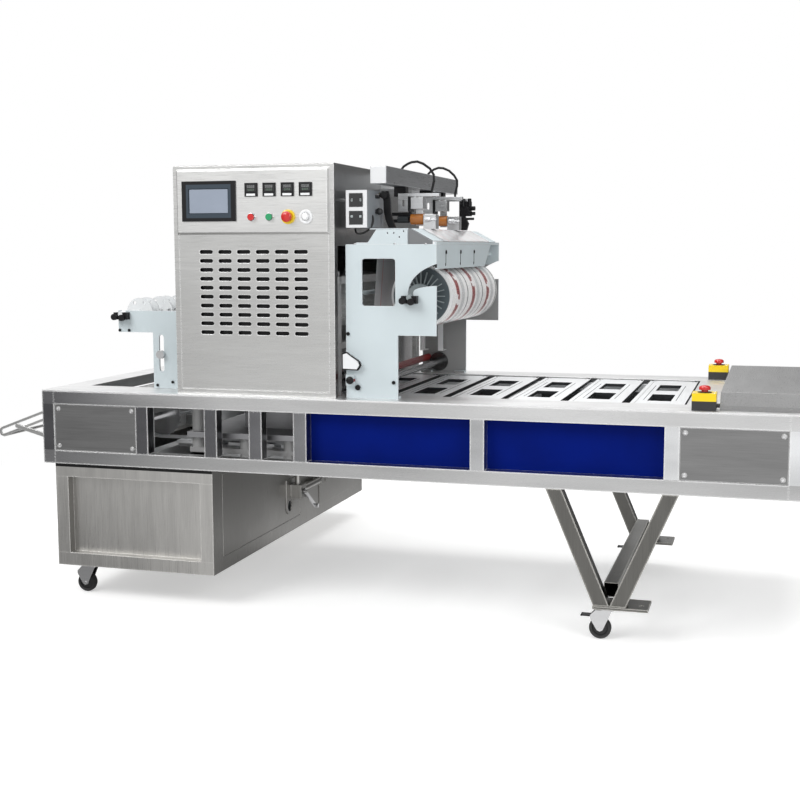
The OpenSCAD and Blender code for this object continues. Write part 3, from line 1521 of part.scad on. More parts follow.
// Clamps with two knobs that hold both shafts down, mirrored at the back
clamp_over = [18, 11, 6];
knob_r = 12;
knob_out = 14;
knob_at = [[-21, -11], [10, -14]];
module clamp(x, y, z, r, side) {
    translate([x, y, z]) scale([1, side, 1]) {
        difference() {
            block([-r - clamp_over[0], 0, -r - clamp_over[1]],
                  [2 * (r + clamp_over[0]), core_tail + over / 2, r + clamp_over[2] + clamp_over[1]]);
            rod_y(0, -over, core_tail + over, 0, r + fit);
        }
        for (k = knob_at)
            rod_y(k[0], core_tail, core_tail + knob_out, k[1], knob_r);
    }
}

module shaft_clamps() {
    color("black") datum() for (s = [0, 1]) {
        side = s == 0 ? -1 : 1;
        clamp(roll_x, film_y[s] + s * film_plate_t + side * seam, roll_z, shaft_r, side);
        clamp(reel_x, rewind_y[s] + s * film_plate_t + side * seam, reel_z, shaft_r, side);
    }
}

// Coders: beam held by two arms on the cabinet, control box, two date coders and an end cluster
arm_share = [0.5, 0.93];
arm_w = 34;
module coder_beam() {
    color("silver") datum() {
        translate([beam_x, film_y[0], beam_z])
            square_tube([beam_w, film_y[1] + film_plate_t - film_y[0], beam_section_h], 1);
        for (y = [film_y[0], film_y[1] + film_plate_t - sheet])
            block([beam_x + tube_wall + seam, y, beam_z + tube_wall + seam],
                  [beam_w - 2 * tube_wall - 2 * seam, sheet, beam_section_h - 2 * tube_wall - 2 * seam]);
        for (share = arm_share)
            block([cab_x1 + seam, film_y[0] + share * (film_y[1] - film_y[0]), beam_z + tube_wall],
                  [beam_x - cab_x1 - 2 * seam, arm_w, beam_section_h - 2 * tube_wall]);
    }
}

box_knob_r = 13;
box_knob_out = 15;
module coder_box() {
    face = 2.5;
    display = [50, 32];
    display_in = 14;
    display_z = [18, 76];
    knob_z = box_z + box_h / 2 - display_in / 2;
    rod_z0 = box_z + box_h - display[1];
    color("dimgray") datum() {
        block([box_x, film_y[0], box_z], [box_w, box_d, box_h]);
        difference() {
            block([box_x, film_y[0] - face, box_z], [box_w, face, box_h]);
            for (dz = display_z)
                block([box_x + display_in, film_y[0] - face - over, box_z + dz], [display[0], face / 2 + over, display[1]]);
        }
        rod_x(cab_x1 + seam, box_x, film_y[0] + box_d / 2, rod_z0, roller_pin_r - over);
        rod_x(box_x + box_w, box_x + box_w + box_knob_out, film_y[0] + box_d / 2, knob_z, roller_pin_r);
        translate([box_x + box_w + box_knob_out, film_y[0] + box_d / 2, knob_z]) sphere(r = box_knob_r);
        rod_x(box_x + box_w, box_x + box_w + box_knob_out, film_y[0] + box_d / 2, rod_z0 + box_knob_r, roller_pin_r);
    }
}

// Shape of one coder, measured from the beam's left edge, the coder table and the unit's middle
hang_low = 36;
hang_w = 36;
hang_x = [6, 51];
bar_x = [51, 176];
bar_w = 24;
bar_h = 11;
plate_x = [62, 69];
plate_w = 56;
plate_low = 65;
oval_x = [23, 62];
oval_plate_t = 4;
oval_hole = [26, 9];
head_x = [71.5, 117];
head_w = 46;
head_low = 75;
head_high = 116;
pad_x = [81, 107];
pad_y = [16, 24];
pad_low = 13;
guide_r = 5;
ribbon_x = [69.5, 118];
ribbon_r = 20;
ribbon_z = 37;
ribbon_in = 5;
spool_r = 7;
foot_x = [120, 166];
foot_low = 1.3;
foot_high = 54;
stub_x = [129, 149, 172];
stub_z = 35;
stub_r = [8, 3];
arm_x = [-3, 69];
arm_z = [[25, 37], [50, 62]];
arm_d = 20;
bar_z = beam_z - hang_low;

module coder_frames() {
    color("black") datum() {
        for (y = unit_y)
            translate([beam_x, y, coder_z]) {
                block([hang_x[0], -hang_w / 2, bar_z - coder_z], [hang_x[1] - hang_x[0], hang_w, hang_low - seam]);
                block([plate_x[0], -plate_w / 2, plate_low],
                      [plate_x[1] - plate_x[0], plate_w, bar_z - coder_z - plate_low - rest_gap]);
                for (z = arm_z)
                    block([arm_x[0], -ribbon_in - arm_d / 2, z[0]], [arm_x[1] - arm_x[0], arm_d, z[1] - z[0]]);
                block([plate_x[0], -ribbon_in - arm_d / 2, arm_z[0][0]],
                      [plate_x[1] - plate_x[0], arm_d, plate_low - arm_z[0][0] + over]);
                rod_x(plate_x[0], foot_x[0] - rest_gap, -ribbon_in, ribbon_z, spool_r);
            }
        for (k = [0, 1])
            hose(k == 0 ? hose_1 : hose_2, unit_y[k]);
        coder_lever();
        coder_cluster();
    }
}

// Silver parts of the coders: top bar, plate with an oval hole, foot block with its stub
module coder_blocks() {
    oval_y = -hang_w / 2 - oval_plate_t - seam;
    color("silver") datum() {
        for (y = unit_y)
            translate([beam_x, y, coder_z]) {
                difference() {
                    block([bar_x[0] + seam, -bar_w / 2, bar_z - coder_z], [bar_x[1] - bar_x[0], bar_w, bar_h]);
                    for (dx = hose_from)
                        rod_z(dx, 0, bar_z - coder_z + bar_h - over / 2, bar_z - coder_z + bar_h + over, hose_r + fit);
                }
                for (s = [-1, 1])
                    rod_z((head_x[0] + head_x[1]) / 2 + s * (pad_x[1] - pad_x[0]) / 2, 0, head_low + bar_h,
                          bar_z - coder_z + over, guide_r);
                difference() {
                    block([oval_x[0], oval_y, plate_low],
                          [oval_x[1] - oval_x[0] - seam, oval_plate_t, bar_z - coder_z + bar_h - plate_low]);
                    translate([(oval_x[0] + oval_x[1]) / 2, oval_y + oval_plate_t + over, (head_low + head_high) / 2])
                        rotate([90, 0, 0]) linear_extrude(height = oval_plate_t + 2 * over)
                            rotate(90) obround(oval_hole[0], oval_hole[1]);
                }
                block([foot_x[0], -head_w / 2, foot_low], [foot_x[1] - foot_x[0], head_w, foot_high - foot_low]);
                rod_x(stub_x[0], stub_x[1], -head_w / 2 - stub_r[0], stub_z, stub_r[0] + fit);
                rod_x(stub_x[1], stub_x[2], -head_w / 2 - stub_r[0], stub_z, stub_r[1]);
            }
        translate([beam_x, film_y[0] + cluster_in, coder_z])
            block([bar_x[0] + seam, -bar_w / 2, bar_z - coder_z], [cluster_x[1] - bar_x[0], bar_w, bar_h]);
    }
}

// S shaped lever beside the box, held by a pin through its upper end
lever_line = [[10, 135], [19, 100], [20, 62], [26, 34], [38, 4]];
lever_half = 13;
lever_y = [134, 146];
lever_pin_z = 120;
module coder_lever() {
    translate([beam_x, film_y[0], coder_z]) {
        slab_y(lever_y[0], lever_y[1]) polygon(concat(
            [for (p = lever_line) [p[0] - lever_half, p[1]]], [for (p = backwards(lever_line)) [p[0] + lever_half, p[1]]]));
        rod_y(lever_line[0][0], lever_y[0] - lever_half, lever_y[1] + lever_half, lever_pin_z, lever_half);
        block([box_x + box_w + seam - beam_x, lever_y[0], lever_pin_z - lever_half / 2],
              [beam_x + lever_line[0][0] - box_x - box_w, lever_y[1] - lever_y[0], lever_half]);
    }
}

// Adjusting cluster at the beam's far end: body, two knobs, a rod and its arm
cluster_in = 834;
cluster_x = [118, 162];
cluster_z = [62, 119.7];
cluster_w = 40;
cluster_knob = [18, 9];
cluster_rod = 49;
cluster_arm = [[119, 62], [140, 62], [156, 30], [148, 3], [128, 3], [124, 36]];
module coder_cluster() {
    translate([beam_x, film_y[0] + cluster_in, coder_z]) {
        block([hang_x[0], -hang_w / 2, bar_z - coder_z], [hang_x[1] - hang_x[0], hang_w, hang_low - seam]);
        block([cluster_x[0], -cluster_w / 2, cluster_z[0] - over],
              [cluster_x[1] - cluster_x[0], cluster_w, cluster_z[1] - cluster_z[0] + over]);
        rod_x(cluster_x[1] - over, cluster_x[1] + cluster_knob[0], 0, cluster_z[1] - cluster_w * 0.7, cluster_knob[1]);
        rod_x(cluster_x[1] - over, cluster_x[1] + cluster_knob[0], 0, cluster_z[0] + cluster_knob[1], cluster_knob[1] - over);
        for (x = [cluster_x[0] + 2 * cluster_knob[1], cluster_x[1]])
            rod_z(x, -cluster_w / 2 - guide_r, cluster_z[1] - cluster_w / 2, cluster_z[1] + bar_h, guide_r + over);
        rod_x(cluster_x[0], cluster_x[1] + cluster_knob[0], -cluster_w / 2, cluster_rod, guide_r);
        slab_y(-bar_w, 0) polygon(cluster_arm);
    }
}

module coder_heads() {
    color("silver") datum() for (y = unit_y)
        translate([beam_x, y, coder_z]) difference() {
            union() {
                block([head_x[0], -head_w / 2, head_low], [head_x[1] - head_x[0], head_w, head_high - head_low]);
                block([pad_x[0], pad_y[0], pad_low], [pad_x[1] - pad_x[0], pad_y[1] - pad_y[0], head_low - pad_low + over]);
            }
            for (s = [-1, 1])
                rod_z((head_x[0] + head_x[1]) / 2 + s * (pad_x[1] - pad_x[0]) / 2, 0, head_low - over, head_high + over,
                      guide_r + fit);
        }
}

module ribbon_roll(y) {
    color("darkorange") datum() translate([beam_x, y, coder_z]) difference() {
        rod_x(ribbon_x[0], ribbon_x[1], -ribbon_in, ribbon_z, ribbon_r);
        rod_x(ribbon_x[0] - over, ribbon_x[1] + over, -ribbon_in, ribbon_z, spool_r + fit);
    }
}

module ribbon_roll_1() {
    ribbon_roll(unit_y[0]);
}

module ribbon_roll_2() {
    ribbon_roll(unit_y[1]);
}

// Hoses swept along hand picked points, measured from the beam's left edge and the top bars
hose_r = 4.6;
hose_sides = 10;
hose_from = [146];
hose_1 = [[31, 96.3], [31, 101], [38, 110], [53, 119], [68, 125], [90, 127], [112, 119], [138, 101], [153, 78],
          [154, 56], [149, 34], [146, 22], [146, 10.2]];
hose_2 = [[36, 96.3], [36, 101], [46, 111], [60, 119], [78, 125], [98, 123], [121, 113], [142, 94], [154, 74],
          [154, 54], [149, 34], [146, 22], [146, 10.2]];
module hose(shape, y) {
    n = len(shape);
    p = [for (q = shape) [beam_x + q[0], bar_z + q[1]]];
    dirs = [for (i = [0 : n - 1]) let (d = p[min(i + 1, n - 1)] - p[max(i - 1, 0)]) d / norm(d)];
    points = [for (i = [0 : n - 1], k = [0 : hose_sides - 1]) let (a = k * 360 / hose_sides)
        [p[i][0] - dirs[i][1] * hose_r * cos(a), y + hose_r * sin(a), p[i][1] + dirs[i][0] * hose_r * cos(a)]];
    faces = concat([[for (k = [0 : hose_sides - 1]) k]],
                   [for (i = [0 : n - 2], k = [0 : hose_sides - 1]) let (m = (k + 1) % hose_sides)
                    [i * hose_sides + k, (i + 1) * hose_sides + k, (i + 1) * hose_sides + m, i * hose_sides + m]],
                   [[for (k = [hose_sides - 1 : -1 : 0]) (n - 1) * hose_sides + k]]);
    polyhedron(points = points, faces = [for (f = faces) backwards(f)]);
}

// Rewinder for the punched film on two side plates
module rewind_outline() {
    slot_mid = (slot_z0 + slot_z1) / 2;
    difference() {
        polygon([[rewind_x, rewind_arm_z], [rewind_column_x, rewind_arm_z], [rewind_column_x, table_top + seam],
                 [cab_x - rest_gap, table_top + seam], [cab_x - rest_gap, rewind_top], [rewind_x, rewind_top]]);
        translate([slot_x, slot_mid]) rotate(90) obround(slot_z1 - slot_z0, slot_w);
        translate([reel_x, reel_z]) circle(r = shaft_r + fit);
        translate([reel_x - shaft_r - fit, reel_z]) square([2 * (shaft_r + fit), rewind_top]);
    }
}

rewind_tie_in = 60;
rewind_tie_x = cab_x - rewind_tie_in;
turn_bar_low = 46;
turn_bar_z = rewind_top - turn_bar_low;
rewind_screws = [[6, 220], [46, 220], [161, 12], [225, 25]];
module rewind_plates() {
    color("lightsteelblue") datum() {
        for (y = rewind_y)
            slab_y(y, y + film_plate_t) rewind_outline();
        for (p = rewind_screws)
            rod_y(rewind_x + p[0], rewind_y[0] - sheet, rewind_y[0], table_top + p[1], plate_screw_r);
        for (p = [[rewind_tie_x, table_top + rewind_tie_in],
                  [slot_x + dancer_r + web_gap / 2 - web_t - rest_gap - tie_r, turn_bar_z]])
            rod_y(p[0], rewind_y[0] + film_plate_t + seam, rewind_y[1] - seam, p[1], tie_r);
    }
}

reel_y = [for (share = [0.12, 0.35, 0.58, 0.81]) roll_y0 + share * film_w];
reel_shares = [0.5, 0.75, 0.125];
reel_w = 60;
flange_t = 3;
flange_holes = 6;
module rewind_reels() {
    color("whitesmoke") datum() {
        rod_y(reel_x, rewind_y[0] - core_tail, rewind_y[1] + film_plate_t + core_tail, reel_z, shaft_r);
        for (y = reel_y) {
            rod_y(reel_x, y, y + reel_w, reel_z, hub_ring_r * reel_shares[0]);
            for (dy = [0, reel_w - flange_t])
                difference() {
                    rod_y(reel_x, y + dy, y + dy + flange_t, reel_z, hub_ring_r);
                    for (k = [0 : flange_holes - 1])
                        translate([reel_x, 0, reel_z]) rotate([0, k * 360 / flange_holes, 0])
                            rod_y(hub_ring_r * reel_shares[1], y - over, y + reel_w + over, 0, hub_ring_r * reel_shares[2]);
                }
        }
    }
}

module dancer_roller() {
    color("silver") datum() {
        rod_y(slot_x, rewind_y[0] + film_plate_t + rest_gap, rewind_y[1] - rest_gap, dancer_z, dancer_r);
        rod_y(slot_x, rewind_y[0] - 2 * film_plate_t, rewind_y[1] + 3 * film_plate_t, dancer_z, slot_w / 2 - fit);
        rod_y(slot_x, rewind_y[0] - 2 * film_plate_t, rewind_y[0] - rest_gap, dancer_z, slot_w / 2 + dancer_r / 2);
    }
}

// Discharge slide: two slotted arms with a sheet between them, held up by two struts
slide_pin_s = 212;
slot_half = 9;
slide_sheet_s = 165;
strut_w = 16;
strut_rise = 20;
strut_foot_z = frame_bottom + tube + strut_rise;
slide_pin_x = slide_pivot_x - slide_pin_s * cos(slide_tilt);
slide_pin_z = slide_pivot_z - slide_pin_s * sin(slide_tilt);
module slide_arm(y) {
    slab_y(y, y + slide_arm_t)
        translate([slide_pivot_x, slide_pivot_z]) rotate(180 + slide_tilt) difference() {
            union() {
                circle(d = slide_arm_w);
                translate([0, -slide_arm_w / 2]) square([slide_arm_len, slide_arm_w]);
                translate([slide_arm_len, 0]) circle(d = slide_arm_w);
            }
            translate([slide_arm_w, -slot_half]) square([slide_arm_len - slide_arm_w, 2 * slot_half]);
            for (s = [slide_arm_w, slide_arm_len])
                translate([s, 0]) circle(r = slot_half);
        }
}

module slide_tray() {
    color("lightgray") datum() {
        for (y = slide_y)
            slide_arm(y);
        rod_y(slide_pivot_x, slide_y[0] - slide_arm_t - over, slide_y[0], slide_pivot_z, slide_pin_r);
        rod_y(slide_pivot_x, slide_y[1] + slide_arm_t, slide_y[1] + 2 * slide_arm_t + over, slide_pivot_z, slide_pin_r);
        slab_y(slide_y[0] + slide_arm_t - over / 4, slide_y[1] + over / 4)
            translate([slide_pivot_x, slide_pivot_z]) rotate(180 + slide_tilt)
                translate([0, -slide_arm_w / 2]) square([slide_sheet_s, sheet]);
        rod_y(slide_pivot_x - slide_arm_len * cos(slide_tilt), slide_y[0] + slide_arm_t - over / 4, slide_y[1] + over / 4,
              slide_pivot_z - slide_arm_len * sin(slide_tilt) - slot_half - slide_pin_r, slide_pin_r);
    }
}

module slide_struts() {
    dx = slide_pin_x - slide_pivot_x;
    dz = slide_pin_z - strut_foot_z;
    len = norm([dx, dz]);
    color("gray") datum() for (s = [0, 1]) {
        y = s == 0 ? slide_y[0] - slide_arm_t - rest_gap : slide_y[1] + slide_arm_t + rest_gap;
        pin = s == 0 ? [y, slide_y[0] + slide_arm_t + over] : [slide_y[1] - over, y + slide_arm_t];
        slab_y(s == 0 ? y - slide_arm_t - rest_gap : y + slide_arm_t + rest_gap,
               s == 0 ? y - rest_gap : y + 2 * slide_arm_t + rest_gap)
            translate([slide_pivot_x, strut_foot_z]) rotate(atan2(dz, dx)) {
                translate([0, -strut_w / 2]) square([len, strut_w]);
                for (x = [0, len])
                    translate([x, 0]) circle(d = strut_w);
            }
        rod_y(slide_pin_x, min(pin[0], pin[0] - (1 - s) * (slide_arm_t + rest_gap)),
              max(pin[1], pin[1] + s * (slide_arm_t + rest_gap)), slide_pin_z, slide_pin_r);
        rod_y(slide_pivot_x, s == 0 ? y - slide_arm_t : y, s == 0 ? y + slide_arm_t : y + 2 * slide_arm_t,
              strut_foot_z, slide_pin_r);
    }
}

table_frame();
conveyor_bed();
deck_plates();
cover_plates();
blue_panels();
drive_motor();
drive_hood();
estop_boxes();
lower_cabinet();
vacuum_pump();
leg_frame();
cabinet_walls();
vent_panel();
control_panel();
panel_instruments();
press_frame();
film_plates();
coder_table();
film_web();
coder_beam();
coder_box();
coder_frames();
coder_blocks();
rewind_plates();
shaft_clamps();
carriers_top();
carriers_return();
drive_shaft();
idler_shaft();
estop_button_front();
estop_button_rear();
pump_door();
valve_lever();
caster_fork_1();
caster_fork_2();
caster_fork_3();
caster_fork_4();
caster_wheel_1();
caster_wheel_2();
caster_wheel_3();
caster_wheel_4();
brake_pedal_1();
brake_pedal_2();
stop_button();
start_button();
panel_estop();
upper_mould();
lower_mould();
film_core();
film_roll();
red_roller();
chrome_roller();
film_latch();
coder_heads();
ribbon_roll_1();
ribbon_roll_2();
rewind_reels();
dancer_roller();
slide_tray();
slide_struts();
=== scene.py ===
import math
import bpy
import bmesh
from mathutils import Matrix, Vector


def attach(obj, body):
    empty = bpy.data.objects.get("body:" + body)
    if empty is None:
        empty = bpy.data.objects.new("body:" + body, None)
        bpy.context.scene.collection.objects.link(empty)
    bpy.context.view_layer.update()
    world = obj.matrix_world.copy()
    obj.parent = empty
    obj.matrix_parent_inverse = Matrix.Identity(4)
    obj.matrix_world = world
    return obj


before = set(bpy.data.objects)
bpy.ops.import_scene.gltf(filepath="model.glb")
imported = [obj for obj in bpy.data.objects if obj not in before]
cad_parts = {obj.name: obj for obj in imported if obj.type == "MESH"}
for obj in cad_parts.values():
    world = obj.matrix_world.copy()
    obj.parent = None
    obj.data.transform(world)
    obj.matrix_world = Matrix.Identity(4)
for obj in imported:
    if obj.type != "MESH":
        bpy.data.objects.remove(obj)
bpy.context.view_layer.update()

MM = 0.001
# The frame's origin in the source's millimetres, which start at the table's left front corner
ORIGIN = (1255.61, 868.0)


def pt(x, y, z):
    """A point given in the source's millimetres, in the frame's metres."""
    return Vector(((x - ORIGIN[0]) * MM, (y - ORIGIN[1]) * MM, z * MM))


def row_y(y):
    return (y - ORIGIN[1]) * MM


def linked(name, data):
    """A new object in the scene."""
    obj = bpy.data.objects.new(name, data)
    bpy.context.scene.collection.objects.link(obj)
    return obj


# Camera, from straight edges of the photo
YAW, PITCH, ROLL = map(math.radians, (16.556, 6.839, -0.112))
CAMERA_AT = pt(2671.5, -4209.2, 1332.9)
cam_data = bpy.data.cameras.new("camera")
cam = linked("camera", cam_data)
bpy.context.scene.camera = cam
cam_data.sensor_width = 36.0
cam_data.lens = 57.145
cam_data.clip_end = 100.0
fwd = Vector((-math.sin(YAW) * math.cos(PITCH), math.cos(YAW) * math.cos(PITCH), -math.sin(PITCH)))
right = Vector((math.cos(YAW), math.sin(YAW), 0.0))
up = right.cross(fwd)
right, up = (right * math.cos(ROLL) + up * math.sin(ROLL), up * math.cos(ROLL) - right * math.sin(ROLL))
rot = Matrix((right, up, -fwd)).transposed().to_4x4()
cam.matrix_world = Matrix.Translation(CAMERA_AT) @ rot


# Materials. In these functions t is the node tree and b its Principled shader.
EVEN = (1, 1, 1)                                                            # noise alike in all directions
LONG = {"x": (0.012, 1, 1), "y": (1, 0.012, 1), "z": (1, 1, 0.012)}         # noise drawn out into streaks
STREAKS = 900.0                                                             # streaks' scale, per metre
UNDER, TOP, MIXED = 6, 7, 2                                                 # a Mix node's colour sockets
WHITE = (1.0, 1.0, 1.0)


def principled(t):
    return next(n for n in t.nodes if n.type == "BSDF_PRINCIPLED")


def new_mat(name):
    m = bpy.data.materials.new(name)
    m.use_nodes = True
    return m, m.node_tree, principled(m.node_tree)


def add(t, kind, **values):
    n = t.nodes.new(kind)
    for k, v in values.items():
        if k in n.inputs:
            n.inputs[k].default_value = v
        else:
            setattr(n, k, v)
    return n


def calc(t, kind, *values):
    """A Math node over sockets and numbers."""
    n = add(t, "ShaderNodeMath", operation=kind)
    for i, v in enumerate(values):
        if isinstance(v, float):
            n.inputs[i].default_value = v
        else:
            t.links.new(v, n.inputs[i])
    return n.outputs[0]


def coords(t, scale):
    c = t.nodes.new("ShaderNodeTexCoord")
    m = add(t, "ShaderNodeMapping", Scale=scale)
    t.links.new(c.outputs["Object"], m.inputs["Vector"])
    return m.outputs["Vector"]


def axes(t, space):
    """X, Y and Z of a place or normal, by name."""
    g = t.nodes.new("ShaderNodeTexCoord")
    s = t.nodes.new("ShaderNodeSeparateXYZ")
    t.links.new(g.outputs[space], s.inputs[0])
    return s.outputs


def noise(t, vector, scale, detail=3.0, rough=0.5):
    n = add(t, "ShaderNodeTexNoise", Scale=scale, Detail=detail, Roughness=rough)
    t.links.new(vector, n.inputs["Vector"])
    return n.outputs["Fac"]


def ramp(t, fac, lo, hi, a, b):
    r = t.nodes.new("ShaderNodeMapRange")
    t.links.new(fac, r.inputs["Value"])
    for k, v in zip(("From Min", "From Max", "To Min", "To Max"), (lo, hi, a, b)):
        r.inputs[k].default_value = v
    return r.outputs["Result"]


def spread(t, fac, a, b):
    """A noise's usual range, 0.3 to 0.7, as a to b."""
    return ramp(t, fac, 0.3, 0.7, a, b)


def tone(t, fac, dark, light, lo=0.3, hi=0.7):
    r = t.nodes.new("ShaderNodeValToRGB")
    r.color_ramp.elements[0].position, r.color_ramp.elements[1].position = lo, hi
    r.color_ramp.elements[0].color = (*dark, 1.0)
    r.color_ramp.elements[1].color = (*light, 1.0)
    t.links.new(fac, r.inputs["Fac"])
    return r.outputs["Color"]


def bump(t, b, height, strength, distance, radius=0.0):
    """Fine relief, on edges that look rounded to a radius."""
    n = add(t, "ShaderNodeBump", Strength=strength, Distance=distance)
    t.links.new(height, n.inputs["Height"])
    if radius:
        e = add(t, "ShaderNodeBevel", samples=3, Radius=radius)
        t.links.new(e.outputs["Normal"], n.inputs["Normal"])
    t.links.new(n.outputs["Normal"], b.inputs["Normal"])


def where(t, axis, lo, hi, space="Object"):
    """0 at lo and before it, 1 at hi and past it, along one axis of the place or normal."""
    return ramp(t, axes(t, space)[axis], lo, hi, 0.0, 1.0)


FRONT, BACK, INFEED = ("Y", -0.5, -0.8, "Normal"), ("Y", 0.5, 0.8, "Normal"), ("X", 0.5, 0.8, "Normal")
UPRIGHT = (("Z", 0.3, 0.1, "Normal"), ("Z", -0.3, -0.1, "Normal"))


def mask(t, *rows):
    """1 where all of the rows hold; each is what where() takes."""
    last = where(t, *rows[0])
    for row in rows[1:]:
        last = calc(t, "MULTIPLY", last, where(t, *row))
    return last


def over(t, fac, under, top, blend="MIX"):
    """Lays a colour or a socket over a socket by a mask, or all over with a factor of 1.0."""
    x = add(t, "ShaderNodeMix", data_type="RGBA", blend_type=blend)
    if isinstance(fac, float):
        x.inputs["Factor"].default_value = fac
    else:
        t.links.new(fac, x.inputs["Factor"])
    t.links.new(under, x.inputs[UNDER])
    if isinstance(top, tuple):
        x.inputs[TOP].default_value = (*top, 1)
    else:
        t.links.new(top, x.inputs[TOP])
    return x.outputs[MIXED]


def edges(t, radius, lo=0.90, hi=0.995):
    """1 on rounded edges, 0 on flat faces."""
    e = add(t, "ShaderNodeBevel", samples=4, Radius=radius)
    g = t.nodes.new("ShaderNodeNewGeometry")
    d = add(t, "ShaderNodeVectorMath", operation="DOT_PRODUCT")
    t.links.new(e.outputs["Normal"], d.inputs[0])
    t.links.new(g.outputs["Normal"], d.inputs[1])
    return ramp(t, d.outputs["Value"], lo, hi, 1.0, 0.0)


def repaint(m, *layers):
    """Lays colours over a finished material: each layer is its colour, then the rows of its mask."""
    t = m.node_tree
    b = principled(t)
    last = b.inputs["Base Color"].links[0].from_socket
    for color, *rows in layers:
        last = over(t, mask(t, *rows), last, color)
    t.links.new(last, b.inputs["Base Color"])
    return m


def shades(c, k):
    return tuple(max(0.0, v * (1 - k)) for v in c), tuple(min(1.0, v * (1 + k)) for v in c)


def brushed(name, color, rough, grain, depth=0.25, vary=0.1, edge=0.0012, rim=0.6):
    """Brushed sheet or tube: long fine streaks along one direction, slow clouds, and a painted highlight that makes
    rounded edges lighter by rim.
    """
    m, t, b = new_mat(name)
    fine = noise(t, coords(t, LONG[grain]), STREAKS, 2.0)
    wide = noise(t, coords(t, tuple(v ** 0.5 for v in LONG[grain])), 22.0, 3.0)
    cloud = noise(t, coords(t, EVEN), 2.6, 4.0)
    mix = calc(t, "ADD", spread(t, fine, 0.0, 0.5), spread(t, wide, 0.0, 0.5))
    # Painted highlight: rounded edges are painted lighter by rim, and made less metallic so they show bright as if
    # catching the light
    lit = edges(t, edge * 1.6, 0.88, 0.99)
    edge_highlight = tuple(min(0.95, v * (1 + rim)) for v in color)
    base = over(t, lit, tone(t, mix, *shades(color, vary), 0.2, 0.8), edge_highlight)
    t.links.new(base, b.inputs["Base Color"])
    gloss = calc(t, "ADD", spread(t, fine, rough * 0.75, rough * 1.2), spread(t, cloud, -0.04, 0.05))
    t.links.new(gloss, b.inputs["Roughness"])
    t.links.new(ramp(t, lit, 0.0, 1.0, 1.0, 0.5 if rim > 0.4 else 1.0), b.inputs["Metallic"])
    bump(t, b, fine, depth, 0.0002, edge)
    return m


def painted(name, color, rough, vary=0.04, grain=1400.0, depth=0.08, edge=0.001, coat=0.0, gloss=0.5, rim=None):
    """Powder coat, moulded plastic or rubber: fine orange peel, slow colour change, worn roughness."""
    m, t, b = new_mat(name)
    cloud = noise(t, coords(t, EVEN), 5.0, 4.0)
    peel = noise(t, coords(t, EVEN), grain, 2.0)
    base = tone(t, cloud, *shades(color, vary))
    # rim, if given, is painted on rounded edges: a painted highlight on the pale plates, darker edges on the reels
    t.links.new(over(t, edges(t, 0.0025), base, rim) if rim else base, b.inputs["Base Color"])
    t.links.new(spread(t, cloud, rough * 0.85, rough * 1.15), b.inputs["Roughness"])
    b.inputs["Specular IOR Level"].default_value = gloss
    b.inputs["Coat Weight"].default_value = coat
    bump(t, b, peel, depth, 0.0003, edge)
    return m


def glow(name, color, strength):
    m, t, b = new_mat(name)
    grain = noise(t, coords(t, EVEN), 900.0)
    t.links.new(tone(t, grain, *shades(color, 0.1)), b.inputs["Emission Color"])
    b.inputs["Base Color"].default_value = (*color, 1)
    b.inputs["Emission Strength"].default_value = strength
    b.inputs["Roughness"].default_value = 0.3
    return m


def banded(name, base, bands, prints, rough, coat, wave=True):
    """A wound or running film with plain stripes, (low, high, colour) in Y; prints are broken up."""
    soft = 0.0004
    m, t, b = new_mat(name)
    cloud = noise(t, coords(t, EVEN), 9.0, 4.0)
    fine = noise(t, coords(t, EVEN), 260.0, 2.0)
    patches = ramp(t, noise(t, coords(t, (1, 0.5, 1)), 24.0, 2.0, 0.6), 0.40, 0.42, 0.0, 1.0)
    last = tone(t, cloud, *shades(base, 0.05))
    for lo, hi, color in [*bands, *prints]:
        stripe = mask(t, ("Y", lo - soft, lo + soft), ("Y", hi + soft, hi - soft))
        if (lo, hi, color) in prints:
            stripe = calc(t, "MULTIPLY", stripe, patches)
        last = over(t, stripe, last, color)
    t.links.new(last, b.inputs["Base Color"])
    t.links.new(spread(t, fine, rough * 0.8, rough * 1.2), b.inputs["Roughness"])
    b.inputs["Coat Weight"].default_value = coat
    bump(t, b, cloud if wave else fine, 0.12, 0.0006 if wave else 0.0002)
    return m


